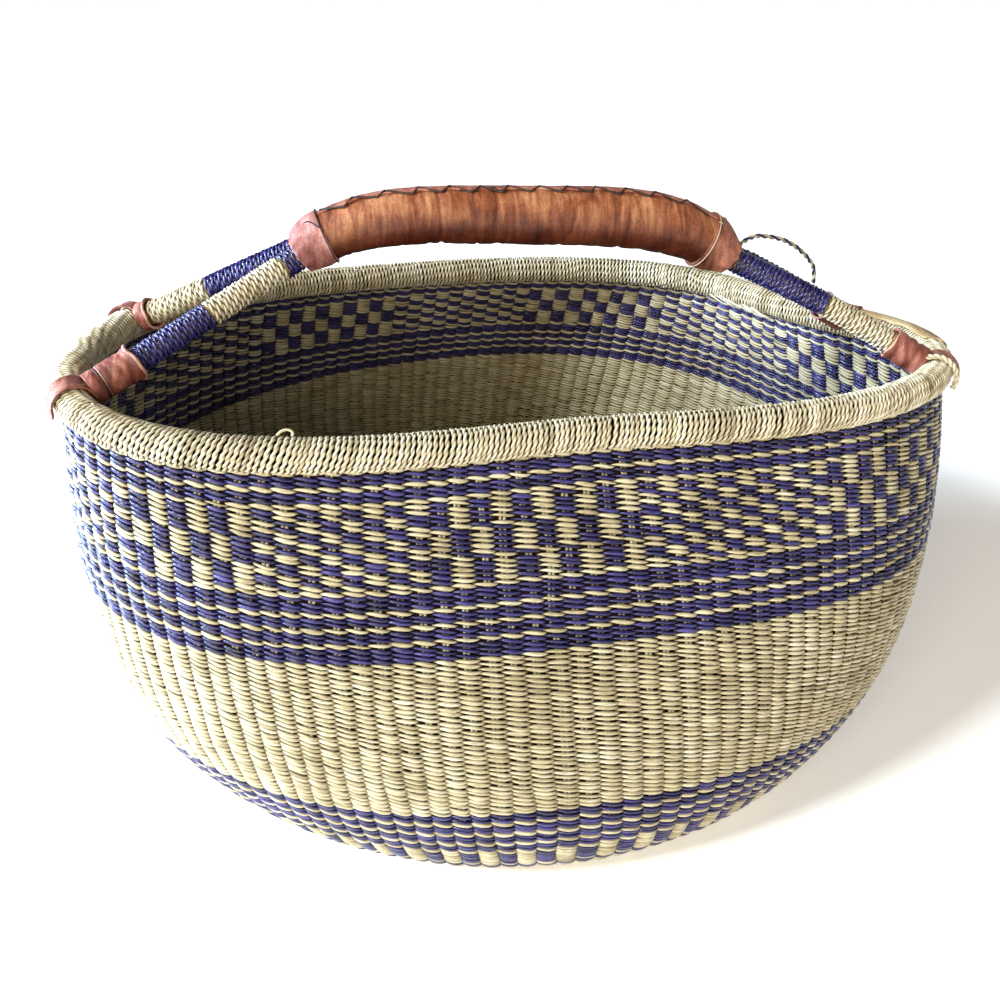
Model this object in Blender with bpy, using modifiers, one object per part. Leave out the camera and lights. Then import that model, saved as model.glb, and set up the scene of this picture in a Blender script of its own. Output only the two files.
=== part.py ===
"""Bolga basket: a round bowl of twined straw with an oval mouth, a bound rim, and a fixed handle
of two wrapped grass rods that run together through a leather grip and stand on four leather cuffs.

Metres, +Z up. The origin is the middle of the flat base, and X runs along the handle."""

import math

import bmesh
import bpy
from mathutils import Matrix, Vector

# Woven bowl
BELLY_RADIUS = 0.2053
BELLY_HEIGHT = 0.070
BASE_RADIUS = 0.165
MOUTH_RADIUS = 0.1752
MOUTH_PINCH = 0.0348
RIM_HEIGHT = 0.1977
WALL = 0.005

# The mouth's long axis is turned against the handle, and its outline is a soft three-lobed oval
MOUTH_TURN = math.radians(8.5)
MOUTH_POWER = 2.19
MOUTH_LOBE_SHARES = ((2, 0.0, -0.006), (3, -0.048, -0.080), (4, -0.033, 0.0))
RIM_WAVE_SHARES = ((1, -0.033, -0.0254), (2, 0.0147, -0.0132), (3, -0.0046, 0.0))
UPPER_WALL_POWER = 1.6
LOWER_WALL_POWER = 2.1
RIM_WAVE_POWER = 4

# Rim rope
ROPE_RADIUS = 0.008
BINDING_WALL = 0.0019
CORE_GAP = 0.0009
SLOT_GAP = 0.0004

# Grip, an arch along X
GRIP_HALF_LENGTH = 0.1036
GRIP_MIDDLE_X = -0.002
GRIP_MIDDLE_Y = -0.026
GRIP_RISE = 0.0709
GRIP_DROP = 0.0180
GRIP_TILT = 0.0030
GRIP_ARCH_POWER = 4.2
GRIP_RADIUS = 0.0138
GRIP_END_RADIUS = 0.0125
GRIP_TAPER = 0.018
GRIP_ROD_SPREAD = 0.0048
GRIP_ROD_RADIUS = 0.0045

# Leather
LEATHER = 0.0018
COLLAR_LEATHER = 0.0015
COLLAR_LENGTH = 0.016
COLLAR_COVER = 0.006
COLLAR_MOUTH_GAP = 0.0009
THREAD_RADIUS = 0.0006
THREAD_INSET = 0.0015
TAB_LENGTH = 0.0065
TAB_WIDTH = 0.0045
TAB_ROOT = 0.0022

# Lacing on top of the grip
LACE_RADIUS = 0.0008
LACE_PERIOD = 0.016
LACE_SWING = 0.0023
LACE_END_MARGIN = 0.002
LACE_ANGLE = math.radians(101)

# Rods and the straw cord wound on them
ROD_RADIUS = 0.0059
ROD_SPREAD = 0.0067
WRAP_RADIUS = 0.00625
WRAP_CORD_RADIUS = 0.00155
WRAP_TURN_GAP = 0.0006
WRAP_MOUTH_MARGIN = 0.0032
SETTLE_LENGTH = 0.014

# Cuffs
FRONT_LEFT_CUFF = 0.036
BACK_LEFT_CUFF = 0.016
FRONT_RIGHT_CUFF = 0.031
BACK_RIGHT_CUFF = 0.028
CUFF_STRAP_WIDTH = 0.017
CUFF_TAIL = 0.0065
SLEEVE_START = 0.0035
CUFF_START_ANGLE = math.radians(-30)
CUFF_TAIL_ANGLE = math.radians(166)

# Straw cord round the rim, and the thin loop behind the grip, from the right end of the grip's arch
RIM_CORD_RADIUS = 0.0015
RIM_CORD_START = math.radians(40)
RIM_CORD_END = math.radians(188)
LOOP_RADIUS = 0.00125
LOOP_ROUTE = (
    (0.0002, 0.0000, 0.0056),
    (0.0028, 0.0000, 0.0037),
    (0.0062, 0.0009, 0.0037),
    (0.0100, 0.0028, 0.0050),
    (0.0154, 0.0065, 0.0061),
    (0.0229, 0.0105, 0.0056),
    (0.0356, 0.0150, 0.0022),
    (0.0462, 0.0190, -0.0034),
    (0.0558, 0.0230, -0.0112),
    (0.0609, 0.0265, -0.0176),
    (0.0634, 0.0298, -0.0259),
)

# Room left between touching pieces, and how far a cutter runs past what it cuts
GAP = 0.0003
OVERRUN = 0.002
WELD_DISTANCE = 0.00001

# Facets
BOWL_SIDES = 56
LOWER_RINGS = 5
UPPER_RINGS = 6
BASE_RING_SHARES = (0.35, 0.70, 0.97)
BINDING_OUTER_POINTS = 10
BINDING_INNER_POINTS = 7
CORE_SIDES = 6
GRIP_SIDES = 20
SLEEVE_SIDES = 16
TURN_POINTS = 8
THREAD_POINTS = 20
ARC_POINTS = 9

# Each foot: rod, side of the grip (-1 left, 1 right), angle on the mouth's oval, cuff length,
# and the wraps from the cuff to the grip as name, material and share of the free rod
FEET = {
    "front_left": (
        "front", -1, math.radians(196.5), FRONT_LEFT_CUFF,
        (("lower", "navy_straw", 0.44), ("middle", "natural_straw", 0.46), ("upper", "navy_straw", 0.10)),
    ),
    "back_left": (
        "back", -1, math.radians(159.0), BACK_LEFT_CUFF,
        (("lower", "natural_straw", 0.38), ("upper", "navy_straw", 0.62)),
    ),
    "front_right": (
        "front", 1, math.radians(321.5), FRONT_RIGHT_CUFF,
        (("lower", "natural_straw", 0.37), ("upper", "navy_straw", 0.63)),
    ),
    "back_right": (
        "back", 1, math.radians(354.5), BACK_RIGHT_CUFF,
        (("lower", "natural_straw", 0.36), ("upper", "navy_straw", 0.64)),
    ),
}
ROD_SIDE = {"front": -1, "back": 1}

MATERIALS = {
    "woven_straw": ((0.62, 0.52, 0.33, 1.0), 0.75),
    "rim_straw": ((0.66, 0.56, 0.36, 1.0), 0.70),
    "grass_core": ((0.50, 0.40, 0.22, 1.0), 0.85),
    "natural_straw": ((0.68, 0.58, 0.36, 1.0), 0.70),
    "navy_straw": ((0.05, 0.035, 0.16, 1.0), 0.45),
    "padding": ((0.45, 0.36, 0.22, 1.0), 0.90),
    "grip_leather": ((0.42, 0.19, 0.08, 1.0), 0.50),
    "cuff_leather": ((0.35, 0.11, 0.09, 1.0), 0.55),
    "dark_lace": ((0.06, 0.03, 0.02, 1.0), 0.60),
    "pale_thread": ((0.70, 0.62, 0.48, 1.0), 0.80),
}


def new_collection(name):
    collection = bpy.data.collections.new(name)
    bpy.context.scene.collection.children.link(collection)
    return collection


def material(slot, name):
    """A material of its own for one sub-part, in the colour of its slot."""
    colour, roughness = MATERIALS[slot]
    made = bpy.data.materials.new(name + "_" + slot)
    made.use_nodes = True
    shader = made.node_tree.nodes["Principled BSDF"]
    shader.inputs["Base Color"].default_value = colour
    shader.inputs["Roughness"].default_value = roughness
    shader.inputs["Metallic"].default_value = 0.0
    return made


def add_object(name, data, slot):
    """A sub-part in the basket's collection."""
    made = bpy.data.objects.new(name, data)
    basket.objects.link(made)
    data.materials.append(material(slot, name))
    return made


def add_cutter(name, data):
    """A helper solid that cuts or joins, left out of the part itself."""
    made = bpy.data.objects.new(name, data)
    cutters.objects.link(made)
    made.hide_render = True
    made.display_type = "WIRE"
    return made


def smooth(mesh):
    mesh.shade_smooth()
    mesh.set_sharp_from_angle(angle=math.radians(40))
    return mesh


def loft(name, rings, close_path=False, cap=False, centre=None):
    """A skin through rings of equal count, each counter-clockwise about the way they follow."""
    form = bmesh.new()
    rows = [[form.verts.new(point) for point in ring] for ring in rings]
    pairs = list(zip(rows, rows[1:]))
    if close_path:
        pairs.append((rows[-1], rows[0]))
    for near, far in pairs:
        for index in range(len(near)):
            after = (index + 1) % len(near)
            form.faces.new((near[index], near[after], far[after], far[index]))
    if cap:
        form.faces.new(list(reversed(rows[0])))
        form.faces.new(rows[-1])
    if centre is not None:
        middle = form.verts.new(centre)
        for index in range(len(rows[0])):
            after = (index + 1) % len(rows[0])
            form.faces.new((middle, rows[0][after], rows[0][index]))
    mesh = bpy.data.meshes.new(name)
    form.to_mesh(mesh)
    form.free()
    return smooth(mesh)


def tube_curve(name, points, radii, resolution, cyclic=False):
    """A tube through points, with one radius for all or one for each."""
    if not isinstance(radii, (list, tuple)):
        radii = [radii] * len(points)
    curve = bpy.data.curves.new(name, "CURVE")
    curve.dimensions = "3D"
    curve.bevel_depth = max(radii)
    curve.bevel_resolution = resolution
    curve.use_fill_caps = not cyclic
    spline = curve.splines.new("POLY")
    spline.points.add(len(points) - 1)
    for knot, point, radius in zip(spline.points, points, radii):
        knot.co = (*point, 1.0)
        knot.radius = radius / curve.bevel_depth
    spline.use_cyclic_u = cyclic
    return curve


def plate_mesh(name, outline, thickness):
    """A flat outline with a thickness, centred on its own plane."""
    curve = bpy.data.curves.new(name, "CURVE")
    curve.dimensions = "2D"
    curve.fill_mode = "BOTH"
    curve.extrude = thickness / 2
    spline = curve.splines.new("POLY")
    spline.points.add(len(outline) - 1)
    for knot, (across, up) in zip(spline.points, outline):
        knot.co = (across, up, 0.0, 1.0)
    spline.use_cyclic_u = True
    guide = bpy.data.objects.new(name + "_outline", curve)
    cutters.objects.link(guide)
    bpy.context.view_layer.update()
    graph = bpy.context.evaluated_depsgraph_get()
    mesh = bpy.data.meshes.new_from_object(guide.evaluated_get(graph))
    bpy.data.objects.remove(guide)
    form = bmesh.new()
    form.from_mesh(mesh)
    bmesh.ops.remove_doubles(form, verts=form.verts, dist=WELD_DISTANCE)
    bmesh.ops.recalc_face_normals(form, faces=form.faces)
    form.to_mesh(mesh)
    form.free()
    return mesh


def rod_mesh(name, radius, length, sides):
    """A straight round solid from the origin along +Z."""
    form = bmesh.new()
    bmesh.ops.create_cone(
        form, cap_ends=True, segments=sides, radius1=radius, radius2=radius, depth=length,
        matrix=Matrix.Translation((0.0, 0.0, length / 2)),
    )
    mesh = bpy.data.meshes.new(name)
    form.to_mesh(mesh)
    form.free()
    return smooth(mesh)


def combine(target, tool, operation):
    change = target.modifiers.new(operation.lower(), "BOOLEAN")
    change.operation = operation
    change.object = tool
    change.solver = "EXACT"


def solidify(target, thickness):
    shell = target.modifiers.new("shell", "SOLIDIFY")
    shell.thickness = thickness
    shell.offset = -1.0
    shell.use_even_offset = True


def mean_radius(height):
    """Outer radius of the bowl at a height, before the mouth is drawn into its oval."""
    if height >= BELLY_HEIGHT:
        share = (height - BELLY_HEIGHT) / (RIM_HEIGHT - BELLY_HEIGHT)
        return BELLY_RADIUS - (BELLY_RADIUS - MOUTH_RADIUS) * share ** UPPER_WALL_POWER
    share = (BELLY_HEIGHT - height) / BELLY_HEIGHT
    bulge = max(1.0 - share ** LOWER_WALL_POWER, 0.0) ** (1.0 / LOWER_WALL_POWER)
    return BASE_RADIUS + (BELLY_RADIUS - BASE_RADIUS) * bulge


def waves(angle, shares):
    """A sum of cosine and sine waves round the mouth."""
    return sum(a * math.cos(count * angle) + b * math.sin(count * angle) for count, a, b in shares)


def wall_point(angle, height, radius_share=1.0):
    """A point on the bowl's outer face."""
    rise = height / RIM_HEIGHT
    radius = mean_radius(height) * radius_share
    pinch = MOUTH_PINCH * rise
    power = 2.0 + (MOUTH_POWER - 2.0) * rise
    across = math.cos(angle)
    back = math.sin(angle)
    fit = (abs(across) ** power + abs(back) ** power) ** (-1.0 / power)
    lobes = 1.0 + rise * waves(angle, MOUTH_LOBE_SHARES)
    wave = RIM_HEIGHT * rise ** RIM_WAVE_POWER * waves(angle, RIM_WAVE_SHARES)
    point = Vector(((radius + pinch) * across * fit * lobes, (radius - pinch) * back * fit * lobes, height + wave))
    return Matrix.Rotation(MOUTH_TURN, 3, "Z") @ point


def rim_frame(angle):
    """Centre of the rim rope at an angle, with the ways along it, down the wall and outward."""
    step = math.pi / BOWL_SIDES
    top = wall_point(angle, RIM_HEIGHT)
    below = wall_point(angle, RIM_HEIGHT - ROPE_RADIUS)
    along = (wall_point(angle + step, RIM_HEIGHT) - wall_point(angle - step, RIM_HEIGHT)).normalized()
    down = below - top
    down = (down - down.dot(along) * along).normalized()
    outward = down.cross(along)
    return top - outward * (WALL / 2), along, down, outward


def bowl_angles():
    return [2 * math.pi * index / BOWL_SIDES for index in range(BOWL_SIDES)]


def wall_top_height():
    """Where the wall ends below the rope's centre, against the rim's core."""
    lean = (mean_radius(RIM_HEIGHT - ROPE_RADIUS) - MOUTH_RADIUS) / ROPE_RADIUS
    reach = ROPE_RADIUS - BINDING_WALL + GAP
    return RIM_HEIGHT - reach * math.cos(math.atan(lean))


def make_woven_body():
    """The bowl as an open surface from the middle of the base up to the rim, given its wall inward."""
    rings = []
    for share in BASE_RING_SHARES:
        rings.append([wall_point(angle, 0.0, share) for angle in bowl_angles()])
    for row in range(LOWER_RINGS):
        sweep = math.pi / 2 * row / LOWER_RINGS
        drop_share = math.cos(sweep) ** (2.0 / LOWER_WALL_POWER)
        height = BELLY_HEIGHT * (1.0 - drop_share)
        rings.append([wall_point(angle, height) for angle in bowl_angles()])
    top = wall_top_height()
    for row in range(UPPER_RINGS + 1):
        height = BELLY_HEIGHT + (top - BELLY_HEIGHT) * row / UPPER_RINGS
        rings.append([wall_point(angle, height) for angle in bowl_angles()])
    body = add_object("woven_body", loft("woven_body", rings, centre=Vector()), "woven_straw")
    solidify(body, WALL)


def rim_section(angle, radius, spots):
    """Points round the rope at one angle of the mouth, each spot an angle from straight down the wall."""
    centre, along, down, outward = rim_frame(angle)
    return [centre + radius * (math.cos(spot) * down + math.sin(spot) * outward) for spot in spots]


def spread(first, last, count):
    return [first + (last - first) * index / (count - 1) for index in range(count)]


def make_rim_binding():
    """The straw wound round the rim, open below where the wall enters it."""
    inner = ROPE_RADIUS - BINDING_WALL
    slot_half = WALL / 2 + SLOT_GAP
    outer_edge = math.asin(slot_half / ROPE_RADIUS)
    inner_edge = math.asin(slot_half / inner)
    outer_spots = spread(2 * math.pi - outer_edge, outer_edge, BINDING_OUTER_POINTS)
    inner_spots = spread(inner_edge, 2 * math.pi - inner_edge, BINDING_INNER_POINTS)
    rings = []
    for angle in bowl_angles():
        section = rim_section(angle, ROPE_RADIUS, outer_spots)
        section += rim_section(angle, inner, inner_spots)
        rings.append(section)
    add_object("rim_binding", loft("rim_binding", rings, close_path=True), "rim_straw")


def make_rim_core():
    """The grass bundle inside the binding."""
    radius = ROPE_RADIUS - BINDING_WALL - CORE_GAP
    spots = [-2 * math.pi * (index + 0.5) / CORE_SIDES for index in range(CORE_SIDES)]
    rings = [rim_section(angle, radius, spots) for angle in bowl_angles()]
    add_object("rim_core", loft("rim_core", rings, close_path=True), "grass_core")


def rim_clearance():
    """The rope with a little room round it, to cut the cuffs."""
    slot_half = WALL / 2 + SLOT_GAP
    edge = math.asin(slot_half / ROPE_RADIUS)
    spots = spread(2 * math.pi - edge, edge, BINDING_OUTER_POINTS) + [0.0]
    rings = [rim_section(angle, ROPE_RADIUS + GAP, spots) for angle in bowl_angles()]
    return add_cutter("rim_clearance", loft("rim_clearance", rings, close_path=True))


def grip_point(along_grip, aside=0.0):
    """A point on the grip's arch, at a distance along X from its middle."""
    share = along_grip / GRIP_HALF_LENGTH
    height = RIM_HEIGHT + GRIP_RISE - GRIP_DROP * abs(share) ** GRIP_ARCH_POWER - GRIP_TILT * share
    return Vector((GRIP_MIDDLE_X + along_grip, GRIP_MIDDLE_Y + aside, height))


def grip_frame(along_grip):
    """Ways back and up across the grip's arch."""
    share = along_grip / GRIP_HALF_LENGTH
    bend = math.copysign(GRIP_ARCH_POWER * GRIP_DROP * abs(share) ** (GRIP_ARCH_POWER - 1.0), share)
    slope = (-bend - GRIP_TILT) / GRIP_HALF_LENGTH
    along = Vector((1.0, 0.0, slope)).normalized()
    back = Vector((0.0, 1.0, 0.0))
    return back, along.cross(back)


def grip_ring(along_grip, radius, apart=0.0):
    """A ring across the grip's arch: a circle, or two half circles set apart round both rods."""
    centre = grip_point(along_grip)
    back, up = grip_frame(along_grip)
    points = []
    for index in range(GRIP_SIDES):
        turn = 2 * math.pi * (index + 0.5) / GRIP_SIDES
        aside = math.copysign(apart, math.cos(turn)) + radius * math.cos(turn)
        points.append(centre + aside * back + radius * math.sin(turn) * up)
    return points


def leather_half_length():
    return GRIP_HALF_LENGTH - COLLAR_LENGTH + COLLAR_COVER


def grip_stations(half_length, count):
    return spread(-half_length, half_length, count)


def grip_outer_radius(along_grip):
    """The leather's outer radius: full over the middle, drawn in under the collars."""
    taper_end = GRIP_HALF_LENGTH - COLLAR_LENGTH
    taper_start = taper_end - GRIP_TAPER
    share = min(max((abs(along_grip) - taper_start) / GRIP_TAPER, 0.0), 1.0)
    return GRIP_RADIUS - (GRIP_RADIUS - GRIP_END_RADIUS) * share


def make_grip_leather():
    end = leather_half_length()
    taper_end = GRIP_HALF_LENGTH - COLLAR_LENGTH
    taper_start = taper_end - GRIP_TAPER
    stations = [-end, -taper_end] + grip_stations(taper_start, 9) + [taper_end, end]
    rings = []
    for station in stations:
        rings.append(grip_ring(station, grip_outer_radius(station)))
    leather = add_object("grip_leather", loft("grip_leather", rings), "grip_leather")
    solidify(leather, LEATHER)


def make_grip_padding():
    """The straw bundle that makes the grip thick, with one oval bore for both rods."""
    end = GRIP_HALF_LENGTH - COLLAR_LENGTH - GRIP_TAPER
    radius = GRIP_RADIUS - LEATHER - GAP
    bore_radius = GRIP_ROD_RADIUS + GAP
    stations = grip_stations(end, 9)
    rings = [grip_ring(station, radius) for station in stations]
    rings += [grip_ring(station, bore_radius, GRIP_ROD_SPREAD) for station in reversed(stations)]
    add_object("grip_padding", loft("grip_padding", rings, close_path=True), "padding")


def make_collar(name, side):
    """A leather band from the grip's round end to an oval mouth round both rods."""
    mouth_radius = ROD_RADIUS + COLLAR_MOUTH_GAP + COLLAR_LEATHER
    round_radius = GRIP_END_RADIUS + GAP + COLLAR_LEATHER
    blend_length = COLLAR_LENGTH - COLLAR_COVER
    rings = []
    for share in (0.0, 0.35, 0.7, 1.0):
        radius = mouth_radius + (round_radius - mouth_radius) * share
        apart = ROD_SPREAD * (1.0 - share)
        rings.append(grip_ring(side * (GRIP_HALF_LENGTH - blend_length * share), radius, apart))
    rings.append(grip_ring(side * (GRIP_HALF_LENGTH - COLLAR_LENGTH), round_radius))
    if side > 0:
        rings.reverse()
    collar = add_object(name, loft(name, rings), "cuff_leather")
    solidify(collar, COLLAR_LEATHER)
    return collar


def add_collar_tab(collar, side):
    """The short end of the leather that hangs on the collar's front, beside its thread."""
    inset = THREAD_INSET + THREAD_RADIUS + GAP + TAB_WIDTH / 2
    station = side * (GRIP_HALF_LENGTH - COLLAR_LENGTH + inset)
    radius = GRIP_END_RADIUS + GAP + COLLAR_LEATHER
    centre = grip_point(station)
    tab = rod_mesh("collar_tab", TAB_WIDTH / 2, COLLAR_LEATHER, SLEEVE_SIDES)
    stretch = Matrix.Diagonal((1.0, TAB_LENGTH / TAB_WIDTH, 1.0, 1.0))
    tab.transform(stretch)
    tool = add_cutter("collar_tab", tab)
    spot = centre + Vector((0.0, -radius + COLLAR_LEATHER / 2, -TAB_ROOT - TAB_LENGTH / 2))
    tool.matrix_world = Matrix.Translation(spot) @ Matrix.Rotation(math.pi / 2, 4, "X")
    combine(collar, tool, "UNION")


def make_collar_thread(name, side):
    """The thin tie round a collar near its inner edge."""
    radius = GRIP_END_RADIUS + GAP + COLLAR_LEATHER + GAP + THREAD_RADIUS
    station = side * (GRIP_HALF_LENGTH - COLLAR_LENGTH + THREAD_INSET)
    centre = grip_point(station)
    back, up = grip_frame(station)
    turns = [2 * math.pi * index / THREAD_POINTS for index in range(THREAD_POINTS)]
    points = [centre + radius * (math.cos(turn) * back + math.sin(turn) * up) for turn in turns]
    add_object(name, tube_curve(name, points, THREAD_RADIUS, 1, cyclic=True), "pale_thread")


def make_lacing():
    """The zigzag lace along the top of the grip, between the collars."""
    reach = GRIP_HALF_LENGTH - COLLAR_LENGTH - LACE_END_MARGIN
    stitches = 2 * round(reach / LACE_PERIOD * 2)
    points = []
    for index in range(stitches + 1):
        station = -reach + 2 * reach * index / stitches
        radius = grip_outer_radius(station) + GAP + LACE_RADIUS
        swing = LACE_SWING / radius
        turn = LACE_ANGLE + (swing if index % 2 else -swing)
        back, up = grip_frame(station)
        points.append(grip_point(station) + radius * (math.cos(turn) * back + math.sin(turn) * up))
    add_object("grip_lacing", tube_curve("grip_lacing", points, LACE_RADIUS, 1), "dark_lace")


def foot_line(foot):
    """Rope centre under a foot, the way up its rod to the grip's mouth, and the length between them."""
    rod, side, angle = FEET[foot][:3]
    centre, along = rim_frame(angle)[:2]
    mouth = grip_point(side * GRIP_HALF_LENGTH, ROD_SIDE[rod] * ROD_SPREAD)
    way = mouth - centre
    return centre, way.normalized(), way.length, along


def rod_stop(foot):
    """How far from the rope's centre a rod ends, against the strap."""
    way, along = foot_line(foot)[1], foot_line(foot)[3]
    slant = abs(way.dot(along))
    corner = ROD_RADIUS * slant / math.sqrt(1.0 - slant * slant)
    return ROPE_RADIUS + GAP + LEATHER + GAP + corner


def wrap_cord_centre_radius():
    return WRAP_RADIUS - WRAP_CORD_RADIUS


def wound_core_radius():
    """Rod radius under a winding, clear of the straight runs between its points."""
    sag = math.cos(math.pi / TURN_POINTS)
    return wrap_cord_centre_radius() * sag - WRAP_CORD_RADIUS - GAP


def rod_stations(foot):
    """Distance and radius along a rod from its foot: full in the cuff and at the grip, slim under the wraps."""
    length = foot_line(foot)[2]
    cuff = FEET[foot][3]
    slim = wound_core_radius()
    wound_end = length - WRAP_MOUTH_MARGIN
    return [
        (rod_stop(foot), ROD_RADIUS),
        (cuff - GAP, ROD_RADIUS),
        (cuff, slim),
        (wound_end, slim),
        (wound_end + GAP, ROD_RADIUS),
        (length, ROD_RADIUS),
    ]


def make_rod(rod):
    """A grass rod from its left foot through the grip to its right foot."""
    side = ROD_SIDE[rod]
    points = []
    radii = []
    for distance, radius in rod_stations(rod + "_left"):
        centre, way = foot_line(rod + "_left")[:2]
        points.append(centre + way * distance)
        radii.append(radius)
    inner = GRIP_HALF_LENGTH - SETTLE_LENGTH
    for station in grip_stations(inner, 11):
        points.append(grip_point(station, side * GRIP_ROD_SPREAD))
        radii.append(GRIP_ROD_RADIUS)
    for distance, radius in reversed(rod_stations(rod + "_right")):
        centre, way = foot_line(rod + "_right")[:2]
        points.append(centre + way * distance)
        radii.append(radius)
    name = "handle_rod_" + rod
    add_object(name, tube_curve(name, points, radii, 2), "grass_core")


def winding_points(origin, way, start, end):
    """One unbroken helix between two distances along a rod, with straight ends, and its count of turns."""
    first = way.orthogonal().normalized()
    second = way.cross(first)
    radius = wrap_cord_centre_radius()
    low = start + WRAP_CORD_RADIUS + GAP
    high = end - WRAP_CORD_RADIUS - GAP
    turns = max(math.floor((high - low) / (2 * WRAP_CORD_RADIUS + WRAP_TURN_GAP)), 1)
    points = []
    for index in range(turns * TURN_POINTS + 1):
        turn = 2 * math.pi * index / TURN_POINTS
        distance = low + (high - low) * index / (turns * TURN_POINTS)
        spoke = math.cos(turn) * first + math.sin(turn) * second
        points.append(origin + way * distance + radius * spoke)
    points.insert(0, points[0] - second * (2 * WRAP_CORD_RADIUS))
    points.append(points[-1] + second * (2 * WRAP_CORD_RADIUS))
    return points, turns


def least_gap(points, radius):
    """Smallest space between two runs of one tube that are at least half a turn apart."""
    apart = TURN_POINTS // 2
    closest = min(
        (points[low] - points[high]).length
        for low in range(len(points))
        for high in range(low + apart, len(points))
    )
    return closest - 2 * radius


def make_wraps(foot):
    """The straw cords wound on one end of a rod, each a tube of its own."""
    cuff = FEET[foot][3]
    origin, way, length = foot_line(foot)[:3]
    free = length - WRAP_MOUTH_MARGIN - cuff
    start = cuff
    for place, slot, share in FEET[foot][4]:
        end = start + free * share
        points, turns = winding_points(origin, way, start, end)
        name = foot + "_wrap_" + place
        add_object(name, tube_curve(name, points, WRAP_CORD_RADIUS, 1), slot)
        print(name, turns, "turns, least gap", round(least_gap(points, WRAP_CORD_RADIUS), 5), "m")
        start = end


def strap_outline():
    """Side view of a cuff's strap: a band over the rope that ends in a straight tail outside."""
    inner = ROPE_RADIUS
    outer = ROPE_RADIUS + GAP + LEATHER
    turns = spread(CUFF_START_ANGLE, CUFF_TAIL_ANGLE, ARC_POINTS)
    outline = [(outer * math.cos(turn), outer * math.sin(turn)) for turn in turns]
    last = turns[-1]
    onward = (-math.sin(last), math.cos(last))
    face = ROPE_RADIUS + GAP
    outline.append((outer * math.cos(last) + CUFF_TAIL * onward[0], outer * math.sin(last) + CUFF_TAIL * onward[1]))
    outline.append((face * math.cos(last) + CUFF_TAIL * onward[0], face * math.sin(last) + CUFF_TAIL * onward[1]))
    outline.append((face * math.cos(last), face * math.sin(last)))
    outline += [(inner * math.cos(turn), inner * math.sin(turn)) for turn in reversed(turns[:-1])]
    return outline


def cuff_axes(foot):
    """Way in over the mouth, way up and way along the rope at a foot, each square to the others."""
    way, along = foot_line(foot)[1], foot_line(foot)[3]
    inward = (way - way.dot(along) * along).normalized()
    up = inward.cross(along)
    if up.z < 0:
        up = -up
    return inward, up, inward.cross(up)


def make_cuff(foot, clearance):
    """A leather sleeve on the rod's end, in one with a strap over the rope."""
    name = foot + "_cuff"
    centre, way = foot_line(foot)[:2]
    cuff = FEET[foot][3]
    upright = way.to_track_quat("Z", "Y").to_matrix().to_4x4()
    outer = rod_mesh(name, ROD_RADIUS + GAP + LEATHER, cuff - SLEEVE_START, SLEEVE_SIDES)
    sleeve = add_object(name, outer, "cuff_leather")
    sleeve.matrix_world = Matrix.Translation(centre + way * SLEEVE_START) @ upright
    inward, up, across = cuff_axes(foot)
    strap = add_cutter(foot + "_strap", plate_mesh(foot + "_strap", strap_outline(), CUFF_STRAP_WIDTH))
    strap.matrix_world = Matrix.Translation(centre) @ Matrix((inward, up, across)).transposed().to_4x4()
    combine(sleeve, strap, "UNION")
    depth = cuff - rod_stop(foot) + GAP + OVERRUN
    bore_radius = (ROD_RADIUS + GAP) / math.cos(math.pi / SLEEVE_SIDES)
    bore = add_cutter(foot + "_bore", rod_mesh(foot + "_bore", bore_radius, depth, SLEEVE_SIDES))
    bore.matrix_world = Matrix.Translation(centre + way * (rod_stop(foot) - GAP)) @ upright
    combine(sleeve, bore, "DIFFERENCE")
    combine(sleeve, clearance, "DIFFERENCE")


def make_rim_cord():
    """The straw cord that goes over the rope on the front side of the front right cuff."""
    centre = foot_line("front_right")[0]
    inward, up, across = cuff_axes("front_right")
    if across.y > 0:
        across = -across
    aside = CUFF_STRAP_WIDTH / 2 + GAP + RIM_CORD_RADIUS
    radius = ROPE_RADIUS + 2 * GAP + RIM_CORD_RADIUS
    turns = spread(RIM_CORD_START, RIM_CORD_END, ARC_POINTS + 3)
    points = [centre + across * aside + radius * (math.cos(turn) * inward + math.sin(turn) * up) for turn in turns]
    add_object("rim_cord", tube_curve("rim_cord", points, RIM_CORD_RADIUS, 1), "natural_straw")


def make_hanging_loop():
    start = grip_point(GRIP_HALF_LENGTH)
    points = [start + Vector(point) for point in LOOP_ROUTE]
    add_object("hanging_loop", tube_curve("hanging_loop", points, LOOP_RADIUS, 2), "navy_straw")


def main():
    make_woven_body()
    make_rim_binding()
    make_rim_core()
    for rod in ROD_SIDE:
        make_rod(rod)
    make_grip_padding()
    make_grip_leather()
    make_lacing()
    left = make_collar("left_collar", -1)
    add_collar_tab(left, -1)
    make_collar("right_collar", 1)
    make_collar_thread("left_collar_thread", -1)
    make_collar_thread("right_collar_thread", 1)
    clearance = rim_clearance()
    for foot in FEET:
        make_wraps(foot)
        make_cuff(foot, clearance)
    make_rim_cord()
    make_hanging_loop()


for old in list(bpy.data.objects):
    bpy.data.objects.remove(old, do_unlink=True)
basket = new_collection("bolga_basket")
cutters = new_collection("cutters")
main()
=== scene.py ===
import math

import bpy
import numpy as np
from mathutils import Matrix, Vector


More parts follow.
